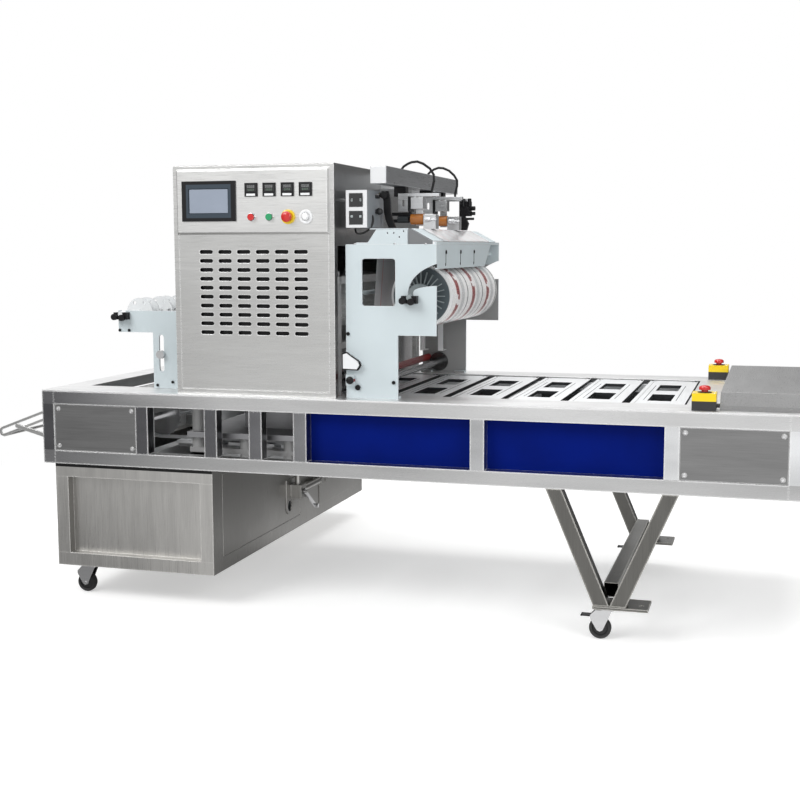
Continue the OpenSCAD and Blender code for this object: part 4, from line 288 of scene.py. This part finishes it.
def frame_steel():
    """Square tube: rails brushed along, posts brushed upright, with painted shade and reflection that make it darker
    towards the slide end.
    """
    m, t, b = new_mat("frame_steel")
    along = noise(t, coords(t, LONG["x"]), STREAKS, 2.0)
    upright = noise(t, coords(t, LONG["z"]), STREAKS, 2.0)
    slow = noise(t, coords(t, (0.25, 1, 1.6)), 5.0, 3.0)
    rail = calc(t, "ADD", where(t, "Z", 0.7465, 0.7475), mask(t, ("Z", 0.5715, 0.5705), ("Z", 0.515, 0.516)))
    # Painted shade and reflection: posts and rails in tones that run from dark at the slide end to light towards the
    # infeed
    post = tone(t, where(t, "X", -1.3, 1.2), (0.17, 0.17, 0.18), (0.84, 0.85, 0.86), 0.32, 1.0)
    lower = tone(t, where(t, "X", -1.3, -0.6), (0.36, 0.36, 0.37), (0.56, 0.56, 0.56), 0.1, 0.8)
    upper = tone(t, where(t, "X", -1.3, -0.3), (0.26, 0.26, 0.27), (0.72, 0.72, 0.72), 0.1, 0.8)
    base = over(t, rail, post, over(t, where(t, "Z", 0.60, 0.70), lower, upper))
    base = over(t, 1.0, base, tone(t, slow, (0.72, 0.72, 0.72), WHITE), "MULTIPLY")
    # Painted light on the far rails' front faces and the end rail's inner face, seen through the table: a flat grey,
    # less metallic coat in place of the dark interior they reflect, and a pale end face under the deck's shade
    end = mask(t, INFEED, ("X", -1.19, -1.20))
    within = calc(t, "MAXIMUM", mask(t, FRONT, ("Y", 0.1, 0.11)), end)
    base = over(t, end, over(t, within, base, (0.30, 0.305, 0.31)), (0.85, 0.86, 0.86))
    # Painted highlight: the tubes' rounded edges near white and less metallic
    lit = edges(t, 0.006, 0.86, 0.99)
    t.links.new(over(t, lit, base, (0.95, 0.95, 0.95)), b.inputs["Base Color"])
    t.links.new(ramp(t, calc(t, "MAXIMUM", lit, within), 0.0, 1.0, 1.0, 0.15), b.inputs["Metallic"])
    grain = over(t, rail, upright, along)
    t.links.new(spread(t, grain, 0.22, 0.36), b.inputs["Roughness"])
    bump(t, b, grain, 0.2, 0.0002, 0.0025)
    return m


STEEL, BEZEL = (0.62, 0.62, 0.61), (0.040, 0.055, 0.072)


def black_plastic(name):
    return painted(name, (0.008, 0.008, 0.009), 0.38, grain=2600, depth=0.12, gloss=0.25)


# Pale plate paint, with a painted highlight on its rounded edges
def pale_paint(name):
    return painted(name, (0.56, 0.63, 0.655), 0.38, rim=(0.85, 0.88, 0.90))


# rim sets the painted highlight on each brushed metal's rounded edges
M = {
    "frame": frame_steel(),
    "tray": brushed("slide_steel", STEEL, 0.32, "x", edge=0.0025),
    "deck": brushed("deck_steel", (0.86, 0.86, 0.86), 0.42, "x", rim=0.15),
    "dark": brushed("dark_steel", (0.58, 0.57, 0.55), 0.34, "z", edge=0.003),
    "leg": brushed("leg_steel", (0.15, 0.147, 0.138), 0.32, "z", edge=0.004, rim=4.0),
    "cabinet": brushed("cabinet_steel", STEEL, 0.30, "x", edge=0.003, vary=0.05, rim=0.5),
    "vents": brushed("vent_steel", STEEL, 0.30, "x", edge=0.0035, vary=0.05, rim=0.9),
    "console": brushed("console_steel", (0.74, 0.74, 0.73), 0.30, "x", edge=0.003, vary=0.05, rim=0.3),
    "hood": brushed("hood_steel", (0.42, 0.42, 0.42), 0.32, "y", edge=0.002),
    "cover": brushed("cover_steel", (0.24, 0.24, 0.24), 0.36, "x", edge=0.003, rim=3.0),
    "inner": painted("inner_coat", (0.40, 0.40, 0.40), 0.4, grain=900),
    "mould": brushed("mould_aluminium", (0.30, 0.30, 0.31), 0.4, "x", edge=0.002),
    "bright": brushed("bright_steel", (0.66, 0.66, 0.67), 0.16, "x", depth=0.1, vary=0.05),
    "beam": brushed("beam_steel", (0.52, 0.53, 0.545), 0.34, "y", edge=0.002),
    "alu": brushed("carrier_aluminium", (0.92, 0.93, 0.94), 0.5, "y", depth=0.15, vary=0.03, rim=0.05),
    "reel": painted("reel_plastic", (0.82, 0.84, 0.85), 0.34, grain=2000, rim=(0.5, 0.52, 0.54)),
    "block": brushed("block_aluminium", (0.70, 0.71, 0.72), 0.34, "x", depth=0.15, vary=0.06, rim=0.35),
    "plate": pale_paint("plate_paint"),
    "plates": pale_paint("film_plate_paint"),
    "coder_table": pale_paint("coder_table_paint"),
    "blue": painted("blue_sheet", (0.0, 0.008, 0.15), 0.42, grain=200, depth=0.05, vary=0.12, gloss=0.05),
    "bed": painted("bed_coat", (0.62, 0.63, 0.64), 0.45, grain=900, gloss=0.4),
    "motor": painted("motor_paint", (0.12, 0.18, 0.24), 0.45),
    "black": black_plastic("black_plastic"),
    "instruments": black_plastic("instrument_plastic"),
    "slate": painted("slate_plastic", (0.035, 0.042, 0.045), 0.42, grain=2000, depth=0.12, gloss=0.3),
    "white": painted("white_plastic", (0.80, 0.81, 0.82), 0.3, grain=2000),
    "red": painted("red_plastic", (0.55, 0.012, 0.01), 0.24, grain=2600, depth=0.05, coat=0.5),
    "green": painted("green_plastic", (0.01, 0.30, 0.11), 0.24, grain=2600, depth=0.05, coat=0.5),
    "yellow": painted("yellow_plastic", (0.85, 0.60, 0.01), 0.3, grain=2600, depth=0.05, coat=0.3),
    "rubber": painted("red_rubber", (0.22, 0.008, 0.008), 0.5, grain=700, depth=0.2),
    "tyre": painted("black_rubber", (0.02, 0.02, 0.021), 0.6, grain=900, depth=0.3),
    "hose": painted("hose_rubber", (0.015, 0.015, 0.015), 0.35, grain=900, depth=0.15),
    "glass": painted("display_glass", (0.010, 0.011, 0.012), 0.12, grain=40, depth=0.01, coat=0.6, edge=0.0),
    "bezel": painted("screen_bezel", BEZEL, 0.35, grain=2400, depth=0.06, gloss=0.25),
    "screen": painted("screen_glass", (0.27, 0.31, 0.38), 0.16, vary=0.06, grain=30, depth=0.01, coat=0.3, edge=0.0),
    "chrome_roller": brushed("chrome_roller", (0.56, 0.56, 0.57), 0.2, "y", depth=0.1, vary=0.08),
    "estop_box": painted("estop_box", (0.018, 0.018, 0.02), 0.35, coat=0.2),
    "coder_box": painted("coder_box", (0.27, 0.29, 0.31), 0.4, grain=2000),
    "roll_core": painted("roll_core", (0.075, 0.095, 0.105), 0.42, grain=2000, depth=0.12),
    "lamp": painted("lamp_lens", (0.85, 0.86, 0.87), 0.2, coat=0.6),
    "ribbon": banded("ribbon", (0.48, 0.17, 0.03), [], [], 0.22, 0.4, wave=False),
}

# Unpainted backs of the blue panels
BARE = (0.06, 0.062, 0.065)
repaint(M["blue"], (BARE, BACK, ("Y", 0.01, -0.01)), (BARE, FRONT, ("Y", -0.01, 0.01)))
# Painted shade: darker sides facing the infeed, a darker drive hood front, and a painted shadow line along the lower
# cabinet's front
repaint(M["dark"], ((0.25, 0.245, 0.235), INFEED), ((0.03, 0.03, 0.03), FRONT, ("Z", 0.508, 0.5085)))
repaint(M["cabinet"], ((0.34, 0.34, 0.34), INFEED))
repaint(M["hood"], ((0.30, 0.30, 0.30), FRONT))
# Painted light: lighter press, far cover plates and beam front
for key in ("inner", "mould"):
    repaint(M[key], ((0.66, 0.66, 0.66), ("X", -0.13, -0.12)))
repaint(M["cover"], ((0.70, 0.70, 0.70), FRONT, ("Y", 0.0, 0.01)))
repaint(M["beam"], ((0.80, 0.81, 0.82), FRONT))
# Painted shade on the walls of the carriers' windows, and on the far film plate's front
repaint(M["alu"], ((0.05, 0.052, 0.055), *UPRIGHT, ("Z", 0.70, 0.71)))
repaint(M["plates"], ((0.30, 0.30, 0.30), FRONT, ("Y", 0.1, 0.11), ("Z", 1.262, 1.26)))
# Coder table: grey cheeks behind the bracket and dark keyholes as painted shade, and pale gauge strips
repaint(M["coder_table"],
        ((0.17, 0.175, 0.18), FRONT, ("X", 0.1739, 0.1741), ("Z", 1.3449, 1.3451), ("X", 0.263, 0.262)),
        ((0.01, 0.01, 0.01), ("X", 0.2688, 0.2690), ("X", 0.2776, 0.2774), ("X", 0.7, 0.5, "Normal"),
         ("Z", 1.262, 1.264), ("Z", 1.336, 1.334)),
        ((0.80, 0.81, 0.82), ("Y", 0.12, 0.121), ("Z", 1.24, 1.239)))
repaint(M["chrome_roller"], ((0.13, 0.13, 0.13), ("Y", 0.185, 0.1855)))
# The touch screen's housing, the stations' yellow lids, the coder box's pale faces and black edge
repaint(M["instruments"], (BEZEL, ("X", -0.6428, -0.6424), ("X", -0.4674, -0.4678),
                           ("Z", 1.4398, 1.4402), ("Z", 1.5592, 1.5588)))
repaint(M["estop_box"], ((0.88, 0.62, 0.0), ("Z", 0.8308, 0.8312)))
repaint(M["coder_box"], ((0.72, 0.73, 0.74), ("Y", -0.8015, -0.8018)),
        ((0.012, 0.012, 0.013), ("X", 0.0275, 0.0277)),
        ((0.82, 0.83, 0.84), ("X", -0.0530, -0.0532)))

# Film roll: plain stripes in place of the print, three lanes across it, and grey faces on its core
RED, PALE, LINE, PINK = (0.28, 0.008, 0.01), (0.62, 0.63, 0.64), (0.03, 0.03, 0.03), (0.66, 0.34, 0.33)
ROLL_Y = (213.0, 953.0)
CORE_OVER, CORE_FACE = 7.1, (0.30, 0.34, 0.35)
core_lo, core_hi = row_y(ROLL_Y[0] - CORE_OVER), row_y(ROLL_Y[1] + CORE_OVER)
repaint(M["roll_core"], (CORE_FACE, ("Y", core_lo, core_lo - 0.0002)), (CORE_FACE, ("Y", core_hi, core_hi + 0.0002)))
LANE_START, LANE = 6.0, 244.0


def lane_stripes(*stripes):
    """(low, high, colour) of each stripe in each lane, from shares of the lane's width."""
    starts = [row_y(ROLL_Y[0] + LANE_START + k * LANE) for k in range(3)]
    return [(y0 + lo * LANE * MM, y0 + hi * LANE * MM, color) for y0 in starts for lo, hi, color in stripes]


M["film"] = banded("film", (0.94, 0.94, 0.94), lane_stripes((0.56, 0.74, PALE), (0.925, 0.97, LINE)),
                   lane_stripes((0.24, 0.43, RED)), 0.25, 0.3)
M["web"] = banded("web", (0.70, 0.70, 0.71), lane_stripes((0.28, 0.305, PINK), (0.62, 0.70, (0.70, 0.70, 0.70)),
                                                          (0.93, 0.95, PINK)), [], 0.22, 0.4)
# The web is printed white down to the window's lower edge; the next length of it is clear film
t = M["web"].node_tree
printed = mask(t, ("Z", 1.085, 1.09), ("X", -0.2, -0.15))
t.links.new(ramp(t, printed, 0.0, 1.0, 0.10, 1.0), principled(t).inputs["Alpha"])

USE = {
    "table_frame": "frame", "conveyor_bed": "bed", "deck_plates": "deck", "cover_plates": "cover",
    "blue_panels": "blue", "drive_motor": "motor", "drive_hood": "hood", "estop_boxes": "estop_box",
    "lower_cabinet": "dark", "vacuum_pump": "motor", "leg_frame": "leg", "cabinet_walls": "cabinet",
    "vent_panel": "vents", "control_panel": "console", "panel_instruments": "instruments",
    "press_frame": "inner", "film_plates": "plates", "coder_table": "coder_table", "film_web": "web",
    "coder_beam": "beam", "coder_box": "coder_box", "coder_frames": "black", "coder_blocks": "block",
    "rewind_plates": "plate", "shaft_clamps": "black", "carriers_top": "alu", "carriers_return": "alu",
    "drive_shaft": "bright", "idler_shaft": "bright", "estop_button_front": "red",
    "estop_button_rear": "red", "pump_door": "dark", "valve_lever": "bright", "stop_button": "red",
    "start_button": "green", "panel_estop": "red", "upper_mould": "mould", "lower_mould": "mould",
    "film_core": "roll_core", "film_roll": "film", "red_roller": "rubber",
    "chrome_roller": "chrome_roller", "film_latch": "block", "coder_heads": "block",
    "ribbon_roll_1": "ribbon", "ribbon_roll_2": "ribbon", "rewind_reels": "reel",
    "dancer_roller": "bright", "slide_tray": "tray", "slide_struts": "tray",
    "brake_pedal_1": "black", "brake_pedal_2": "black",
}
for i in range(1, 5):
    USE["caster_fork_%d" % i] = "bright"
    USE["caster_wheel_%d" % i] = "tyre"
for node, key in USE.items():
    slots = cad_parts[node].data.materials
    slots.clear()
    slots.append(M[key])


# Pieces that the CAD leaves to the scene, in the source's millimetres
TO_FRONT, TO_INFEED, UPWARDS = (0, -1, 0), (1, 0, 0), (0, 0, 1)


def piece(name, bm, material, body="machine", smooth=False):
    mesh = bpy.data.meshes.new(name)
    bm.to_mesh(mesh)
    bm.free()
    obj = linked(name, mesh)
    mesh.materials.append(material)
    if smooth:
        mesh.shade_smooth()
    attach(obj, body)


def add_box(bm, lo, hi, bevel=0.0):
    a, b = pt(*lo), pt(*hi)
    size, mid = b - a, (a + b) / 2
    made = bmesh.ops.create_cube(bm, size=1.0, matrix=Matrix.Translation(mid) @ Matrix.Diagonal((*size, 1)))
    if bevel:
        rims = list({e for v in made["verts"] for e in v.link_edges})
        bmesh.ops.bevel(bm, geom=rims, offset=bevel * MM, segments=2, affect="EDGES", profile=0.7)


def add_turned(bm, centre, axis, profile, steps):
    """Turns (radius, height) pairs about an axis through a point; heights run along the axis."""
    z = Vector(axis).normalized()
    x = z.orthogonal().normalized()
    y = z.cross(x)
    base = pt(*centre)
    rings = []
    for r, h in profile:
        if r <= 0:
            rings.append([bm.verts.new(base + z * h * MM)])
        else:
            rings.append([bm.verts.new(base + (x * math.cos(a) + y * math.sin(a)) * r * MM + z * h * MM)
                          for a in (k * math.tau / steps for k in range(steps))])
    for a, b in zip(rings, rings[1:]):
        for k in range(steps):
            m = (k + 1) % steps
            if len(a) == 1:
                bm.faces.new((a[0], b[k], b[m]))
            elif len(b) == 1:
                bm.faces.new((a[k], b[0], a[m]))
            else:
                bm.faces.new((a[k], b[k], b[m], a[m]))


def boxes(name, rows, material, body="machine"):
    """A piece of boxes, each (low corner, high corner, bevel)."""
    bm = bmesh.new()
    for row in rows:
        add_box(bm, *row)
    piece(name, bm, material, body)


def turned(name, places, axis, profile, material, body="machine", steps=32, smooth=True):
    """A piece of like turned forms at several places."""
    bm = bmesh.new()
    for place in places:
        add_turned(bm, place, axis, profile, steps)
    piece(name, bm, material, body, smooth)


def socket_screws(name, places, axis, r, h, material, body="machine"):
    profile = [(r, 0), (r, h * 0.7), (r * 0.86, h), (r * 0.5, h), (r * 0.46, h * 0.35), (0, h * 0.3)]
    turned(name, places, axis, profile, material, body, steps=20, smooth=False)


def plate(name, outline, y0, y1, material, body):
    """A prism over an outline of X and Z pairs, from one Y to another."""
    bm = bmesh.new()
    rims = [[bm.verts.new(pt(x, y, z)) for x, z in outline] for y in (y0, y1)]
    bm.faces.new(rims[0])
    bm.faces.new(list(reversed(rims[1])))
    for k in range(len(outline)):
        m = (k + 1) % len(outline)
        bm.faces.new((rims[0][m], rims[0][k], rims[1][k], rims[1][m]))
    bmesh.ops.recalc_face_normals(bm, faces=bm.faces)
    piece(name, bm, material, body)


def tube(name, points, r, material):
    c = bpy.data.curves.new(name, "CURVE")
    c.dimensions = "3D"
    c.bevel_depth = r * MM
    c.bevel_resolution = 4
    c.resolution_u = 8
    s = c.splines.new("NURBS")
    s.points.add(len(points) - 1)
    for p, q in zip(s.points, points):
        p.co = (*pt(*q), 1)
    s.use_endpoint_u = True
    s.order_u = 4
    o = linked(name, c)
    c.materials.append(material)
    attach(o, "machine")


NOUGHT, EIGHT, TWO = "abcdef", "abcdefg", "abged"


def figure(bm, x, y, z, w, h, on):
    """A seven segment figure, from its lower left corner."""
    s = w * 0.18
    bars = {"a": (0, h - s, w, h), "g": (0, (h - s) / 2, w, (h + s) / 2), "d": (0, 0, w, s),
            "b": (w - s, h / 2, w, h), "c": (w - s, 0, w, h / 2), "f": (0, h / 2, s, h), "e": (0, 0, s, h / 2)}
    for key in on:
        x0, z0, x1, z1 = bars[key]
        add_box(bm, (x + x0, y - 0.15, z + z0), (x + x1, y, z + z1))


# Console: touch screen
GLASS_Y = 13.9
boxes("screen_bezel", [((623.4, 14.6, 1455.4), (777.6, 16.4, 1543.6), 0.4)], M["bezel"])
boxes("screen_glass", [((625.5, GLASS_Y, 1457.5), (775.5, 14.5, 1541.5), 0.3)], M["screen"])

# A black pan behind the vent slots, put there as painted shade for the dark inside of the cabinet, with flanges
# towards the front
X0, X1, Y0, Y1, Z0, Z1, SHEET = 600, 1140, 33, 45.2, 880, 1350, 1.2
boxes("vent_shade_pan", [((X0, Y1 - SHEET, Z0), (X1, Y1, Z1), 0.4),
                       ((X0, Y0, Z1 - SHEET), (X1, Y1, Z1), 0.3), ((X0, Y0, Z0), (X1, Y1, Z0 + SHEET), 0.3),
                       ((X0, Y0, Z0), (X0 + SHEET, Y1, Z1), 0.3), ((X1 - SHEET, Y0, Z0), (X1, Y1, Z1), 0.3)],
      M["black"])

# Controllers: glass, plain labels and two rows of figures
CONTROLLER_X = (865, 934, 1003, 1071)
boxes("controller_glass", [((x - 18.6, GLASS_Y, 1532.4), (x + 18.6, 15.0, 1555.6), 0.2) for x in CONTROLLER_X],
      M["glass"])
boxes("controller_labels", [((x - 17, 11.7, 1516.5), (x + 17, 12.4, 1524.5), 0.3) for x in CONTROLLER_X],
      M["white"])
upper, lower = bmesh.new(), bmesh.new()
for x in CONTROLLER_X:
    for k, shape in enumerate((NOUGHT, NOUGHT, NOUGHT, EIGHT)):
        figure(upper, x - 13.5 + k * 7.2, GLASS_Y, 1545, 4.6, 8.4, shape)
        figure(lower, x - 11.5 + k * 6.2, GLASS_Y, 1534.6, 3.8, 6.6, NOUGHT)
piece("figures_upper", upper, glow("figure_white", (0.30, 0.31, 0.31), 0.3))
piece("figures_lower", lower, glow("figure_green", (0.16, 0.22, 0.17), 0.25))

# Buttons: rings, collar and lamp, on the console's face
STOP_X, START_X, ESTOP_X, LAMP_X, FACE_Y, BUTTON_Z = 866, 935, 1005, 1072, 12, 1442
LAMP = (LAMP_X, FACE_Y, BUTTON_Z)
turned("estop_ring", [(ESTOP_X, FACE_Y, BUTTON_Z)], TO_FRONT,
       [(25.2, -5.8), (25.6, -5), (25.6, 0.2), (24.6, 1.0), (20, 1.2), (10.2, 1.2), (10.2, -1)], M["yellow"])
turned("lamp_disc", [LAMP], TO_FRONT,
       [(24.2, -5.8), (24.6, -5), (24.6, -1.2), (23.8, -0.6), (15.2, -0.6), (15.1, -1)], M["white"])
turned("button_rings", [(x, FACE_Y, BUTTON_Z) for x in (STOP_X, START_X, LAMP_X)], TO_FRONT,
       [(14.2, -5.8), (15, -5), (15, -1), (13.6, 0.4), (12.5, 0.4), (12.5, -1)], M["bright"])
turned("white_lamp", [LAMP], TO_FRONT, [(12.2, -0.5), (12.2, 5), (11, 9), (7, 10.3), (0, 10.6)], M["lamp"])

# Infeed stations: collars under the red mushrooms, and lid screws
STATION_X, STATION_Y, STATION_Z = 2449, (69, 1095), 857
turned("estop_collars", [(STATION_X, y, STATION_Z) for y in STATION_Y], UPWARDS,
       [(24, -0.1), (24, 1.2), (22, 2.2), (15, 2.4), (12, 2.2), (12, 0)], M["black"])
socket_screws("estop_lid_screws", [(STATION_X + dx, y + dy, STATION_Z - 0.2)
                                   for y in STATION_Y for dx in (-32, 32) for dy in (-32, 32)],
              UPWARDS, 3.6, 0.9, M["bright"])

# Screws of the cover plates, the film plates, the rewinder and the lip plate's keyholes; a ring bolt by the latch
COVER_X, COVER_Z, COVER_IN = ((50, 391.9), (2377, 2722)), (587.6, 729.4), 17
socket_screws("cover_screws", [(x, -0.5, z) for x0, x1 in COVER_X for x in (x0 + COVER_IN, x1 - COVER_IN)
                               for z in COVER_Z], TO_FRONT, 5.2, 0.6, M["bright"])
socket_screws("film_plate_screws", [(1209, 64.6, 1029), (1378, 64.6, 859)], TO_FRONT, 6.5, 4.5, M["black"])
socket_screws("rewind_plate_screws", [(x, 166.1, z) for x, z in ((247, 1020), (287, 1020), (402, 812), (466, 825))],
              TO_FRONT, 5.5, 3.5, M["black"])
socket_screws("ring_bolt", [(1245, 63.1, 838)], TO_FRONT, 10, 4, M["black"])
socket_screws("keyhole_screws", [(1527, y, 1317) for y in (198.5, 415.5, 633.6)], TO_INFEED, 7.6, 9, M["black"])

# Carriers: corner screws, and painted shade of the guide grooves as dark lines
CARRIER_X, CARRIER_TOP = [467 + 215 * k for k in range(9)], 795
socket_screws("carrier_screws", [(x + dx, y, CARRIER_TOP) for x in CARRIER_X for dx in (8, 179) for y in (200, 992)],
              UPWARDS, 5.0, 1.5, M["black"], "carriers_top")
boxes("carrier_groove_shade", [((x + dx, 330, CARRIER_TOP - 0.1), (x + dx + 2.5, 820, CARRIER_TOP + 0.2))
                        for x in CARRIER_X for dx in (36, 149)], M["slate"], "carriers_top")

# Latch: black backing and white cover, and a knob on its keeper block
latch = [(1225 + x, 930 + z) for x, z in ((-35, -28), (-35, 32), (-20, 37), (30, 3), (37, -12), (26, -30))]
COVER_MID, COVER_SHARE = (1224, 930), 0.84
cover = [tuple(c + COVER_SHARE * (v - c) for v, c in zip(corner, COVER_MID)) for corner in latch]
plate("latch_backing", latch, 52.0, 49.5, M["black"], "film_latch")
plate("latch_cover", cover, 49.5, 44.0, M["white"], "film_latch")
turned("keeper_knob", [(1222, 50, 865)], TO_FRONT,
       [(10, -0.1), (10, 3), (13, 4), (13.5, 6), (13.5, 12), (12, 14), (0, 14.4)], M["black"], steps=24)
socket_screws("plate_bolts", [(x, 68, 1345) for x in (1235, 1382, 1494)], UPWARDS, 5, 4, M["bright"])

# Coder box: displays and their figures, and its lead; the ribbon rolls' drums
BOX_X, BOX_Z = 1204.0, 1403.0
boxes("coder_displays", [((BOX_X + 12.0, 62.4, BOX_Z + z), (BOX_X + 62.4, 63.4, BOX_Z + z + 48), 0.4)
                         for z in (10.6, 72.2)], M["glass"])
bm = bmesh.new()
for x in (BOX_X + 20, BOX_X + 52):
    figure(bm, x, 62.3, BOX_Z + 92, 5, 9, NOUGHT)
    figure(bm, x - 2, 62.3, BOX_Z + 36, 8, 7, TWO)
piece("coder_figures", bm, glow("coder_figure", (0.45, 0.50, 0.50), 0.5))
turned("ribbon_drums", [(1312, y, 1437) for y in (345, 695)], TO_INFEED,
       [(0, 0), (13, 0), (14, 1), (14, 41), (13, 42), (0, 42)], M["slate"], steps=24, smooth=False)
LEAD = ((20, 110, 1), (19, 108, -12), (28, 100, -22), (52, 98, -20), (76, 104, -6), (84, 116, 16), (83, 124, 34),
        (77.5, 126, 44))
tube("coder_lead", [(BOX_X + x, y, BOX_Z + z) for x, y, z in LEAD], 3.5, M["hose"])


# Floor, backdrop and lights
def studio_tone(t, place):
    """Strength that gloss sees by compass direction: a dark flag at the left and behind, white elsewhere."""
    turn = calc(t, "ARCTAN2", place["X"], calc(t, "MULTIPLY", place["Y"], -1.0))
    stops = [(0.0, 0.55), (0.03, 0.85), (0.12, 0.9), (0.25, 0.35), (0.38, 0.30), (0.43, 0.75), (0.47, 0.95),
             (0.60, 1.0), (0.68, 0.8), (0.80, 0.30), (0.95, 0.18), (1.0, 0.5)]
    r = t.nodes.new("ShaderNodeValToRGB")
    while len(r.color_ramp.elements) < len(stops):
        r.color_ramp.elements.new(0.5)
    for e, (at, v) in zip(r.color_ramp.elements, stops):
        e.position, e.color = at, (v, v, v, 1)
    t.links.new(ramp(t, turn, -math.pi, math.pi, 0.0, 1.0), r.inputs["Fac"])
    return r.outputs["Color"]


def rays(t):
    """Masks of the rays that come from the camera, and of those that gloss or glass sends on."""
    lp = t.nodes.new("ShaderNodeLightPath").outputs
    return lp["Is Camera Ray"], calc(t, "MAXIMUM", lp["Is Glossy Ray"], lp["Is Transmission Ray"])


FLOOR_LEVEL, WHITE_FROM, WHITE_AT = 0.42, 2.0, 3.6
m, t, b = new_mat("floor_white")
b.inputs["Base Color"].default_value = (0.86, 0.86, 0.855, 1)
b.inputs["Roughness"].default_value = 0.8
b.inputs["Specular IOR Level"].default_value = 0.1
b.inputs["Emission Color"].default_value = (*WHITE, 1)
camera_ray, gloss_ray = rays(t)
t.links.new(calc(t, "MULTIPLY", camera_ray, FLOOR_LEVEL), b.inputs["Emission Strength"])
# Far from the object, and for gloss, the floor is the same white as the backdrop
place = t.nodes.new("ShaderNodeTexCoord")
far = add(t, "ShaderNodeVectorMath", operation="LENGTH")
t.links.new(place.outputs["Object"], far.inputs[0])
white = t.nodes.new("ShaderNodeEmission")
t.links.new(over(t, camera_ray, studio_tone(t, axes(t, "Object")), WHITE), white.inputs["Color"])
mix = t.nodes.new("ShaderNodeMixShader")
distant = ramp(t, far.outputs["Value"], WHITE_FROM, WHITE_AT, 0.0, 1.0)
t.links.new(calc(t, "MAXIMUM", distant, gloss_ray), mix.inputs["Fac"])
t.links.new(b.outputs[0], mix.inputs[1])
t.links.new(white.outputs[0], mix.inputs[2])
out = next(n for n in t.nodes if n.type == "OUTPUT_MATERIAL")
t.links.new(mix.outputs[0], out.inputs["Surface"])
bm = bmesh.new()
bmesh.ops.create_grid(bm, x_segments=1, y_segments=1, size=30)
mesh = bpy.data.meshes.new("floor")
bm.to_mesh(mesh)
bm.free()
mesh.materials.append(m)
floor = linked("floor", mesh)

world = bpy.data.worlds.new("studio")
bpy.context.scene.world = world
world.use_nodes = True
t = world.node_tree
bg = next(n for n in t.nodes if n.type == "BACKGROUND")
camera_ray, gloss_ray = rays(t)
place = axes(t, "Generated")
dim = ramp(t, place["X"], -0.2, 0.9, 0.62, 0.16)
level = over(t, gloss_ray, over(t, camera_ray, dim, WHITE), studio_tone(t, place))
t.links.new(level, bg.inputs["Color"])
bg.inputs["Strength"].default_value = 1.0


def softbox(name, place, aim, size, power):
    d = bpy.data.lights.new(name, "AREA")
    d.shape = "RECTANGLE"
    d.size, d.size_y = size
    d.energy = power
    o = linked(name, d)
    o.location = place
    o.rotation_euler = (Vector(aim) - Vector(place)).to_track_quat("-Z", "Y").to_euler()


softbox("key", (-2.6, -4.2, 4.2), (0, 0, 0.8), (3.0, 2.4), 150)
softbox("fill", (3.4, -3.2, 2.6), (0.2, 0, 0.8), (2.0, 2.4), 58)
softbox("top", (0.2, 0.2, 4.6), (0.2, 0, 0.8), (3.6, 2.6), 120)

bpy.context.scene.view_settings.view_transform = "Standard"
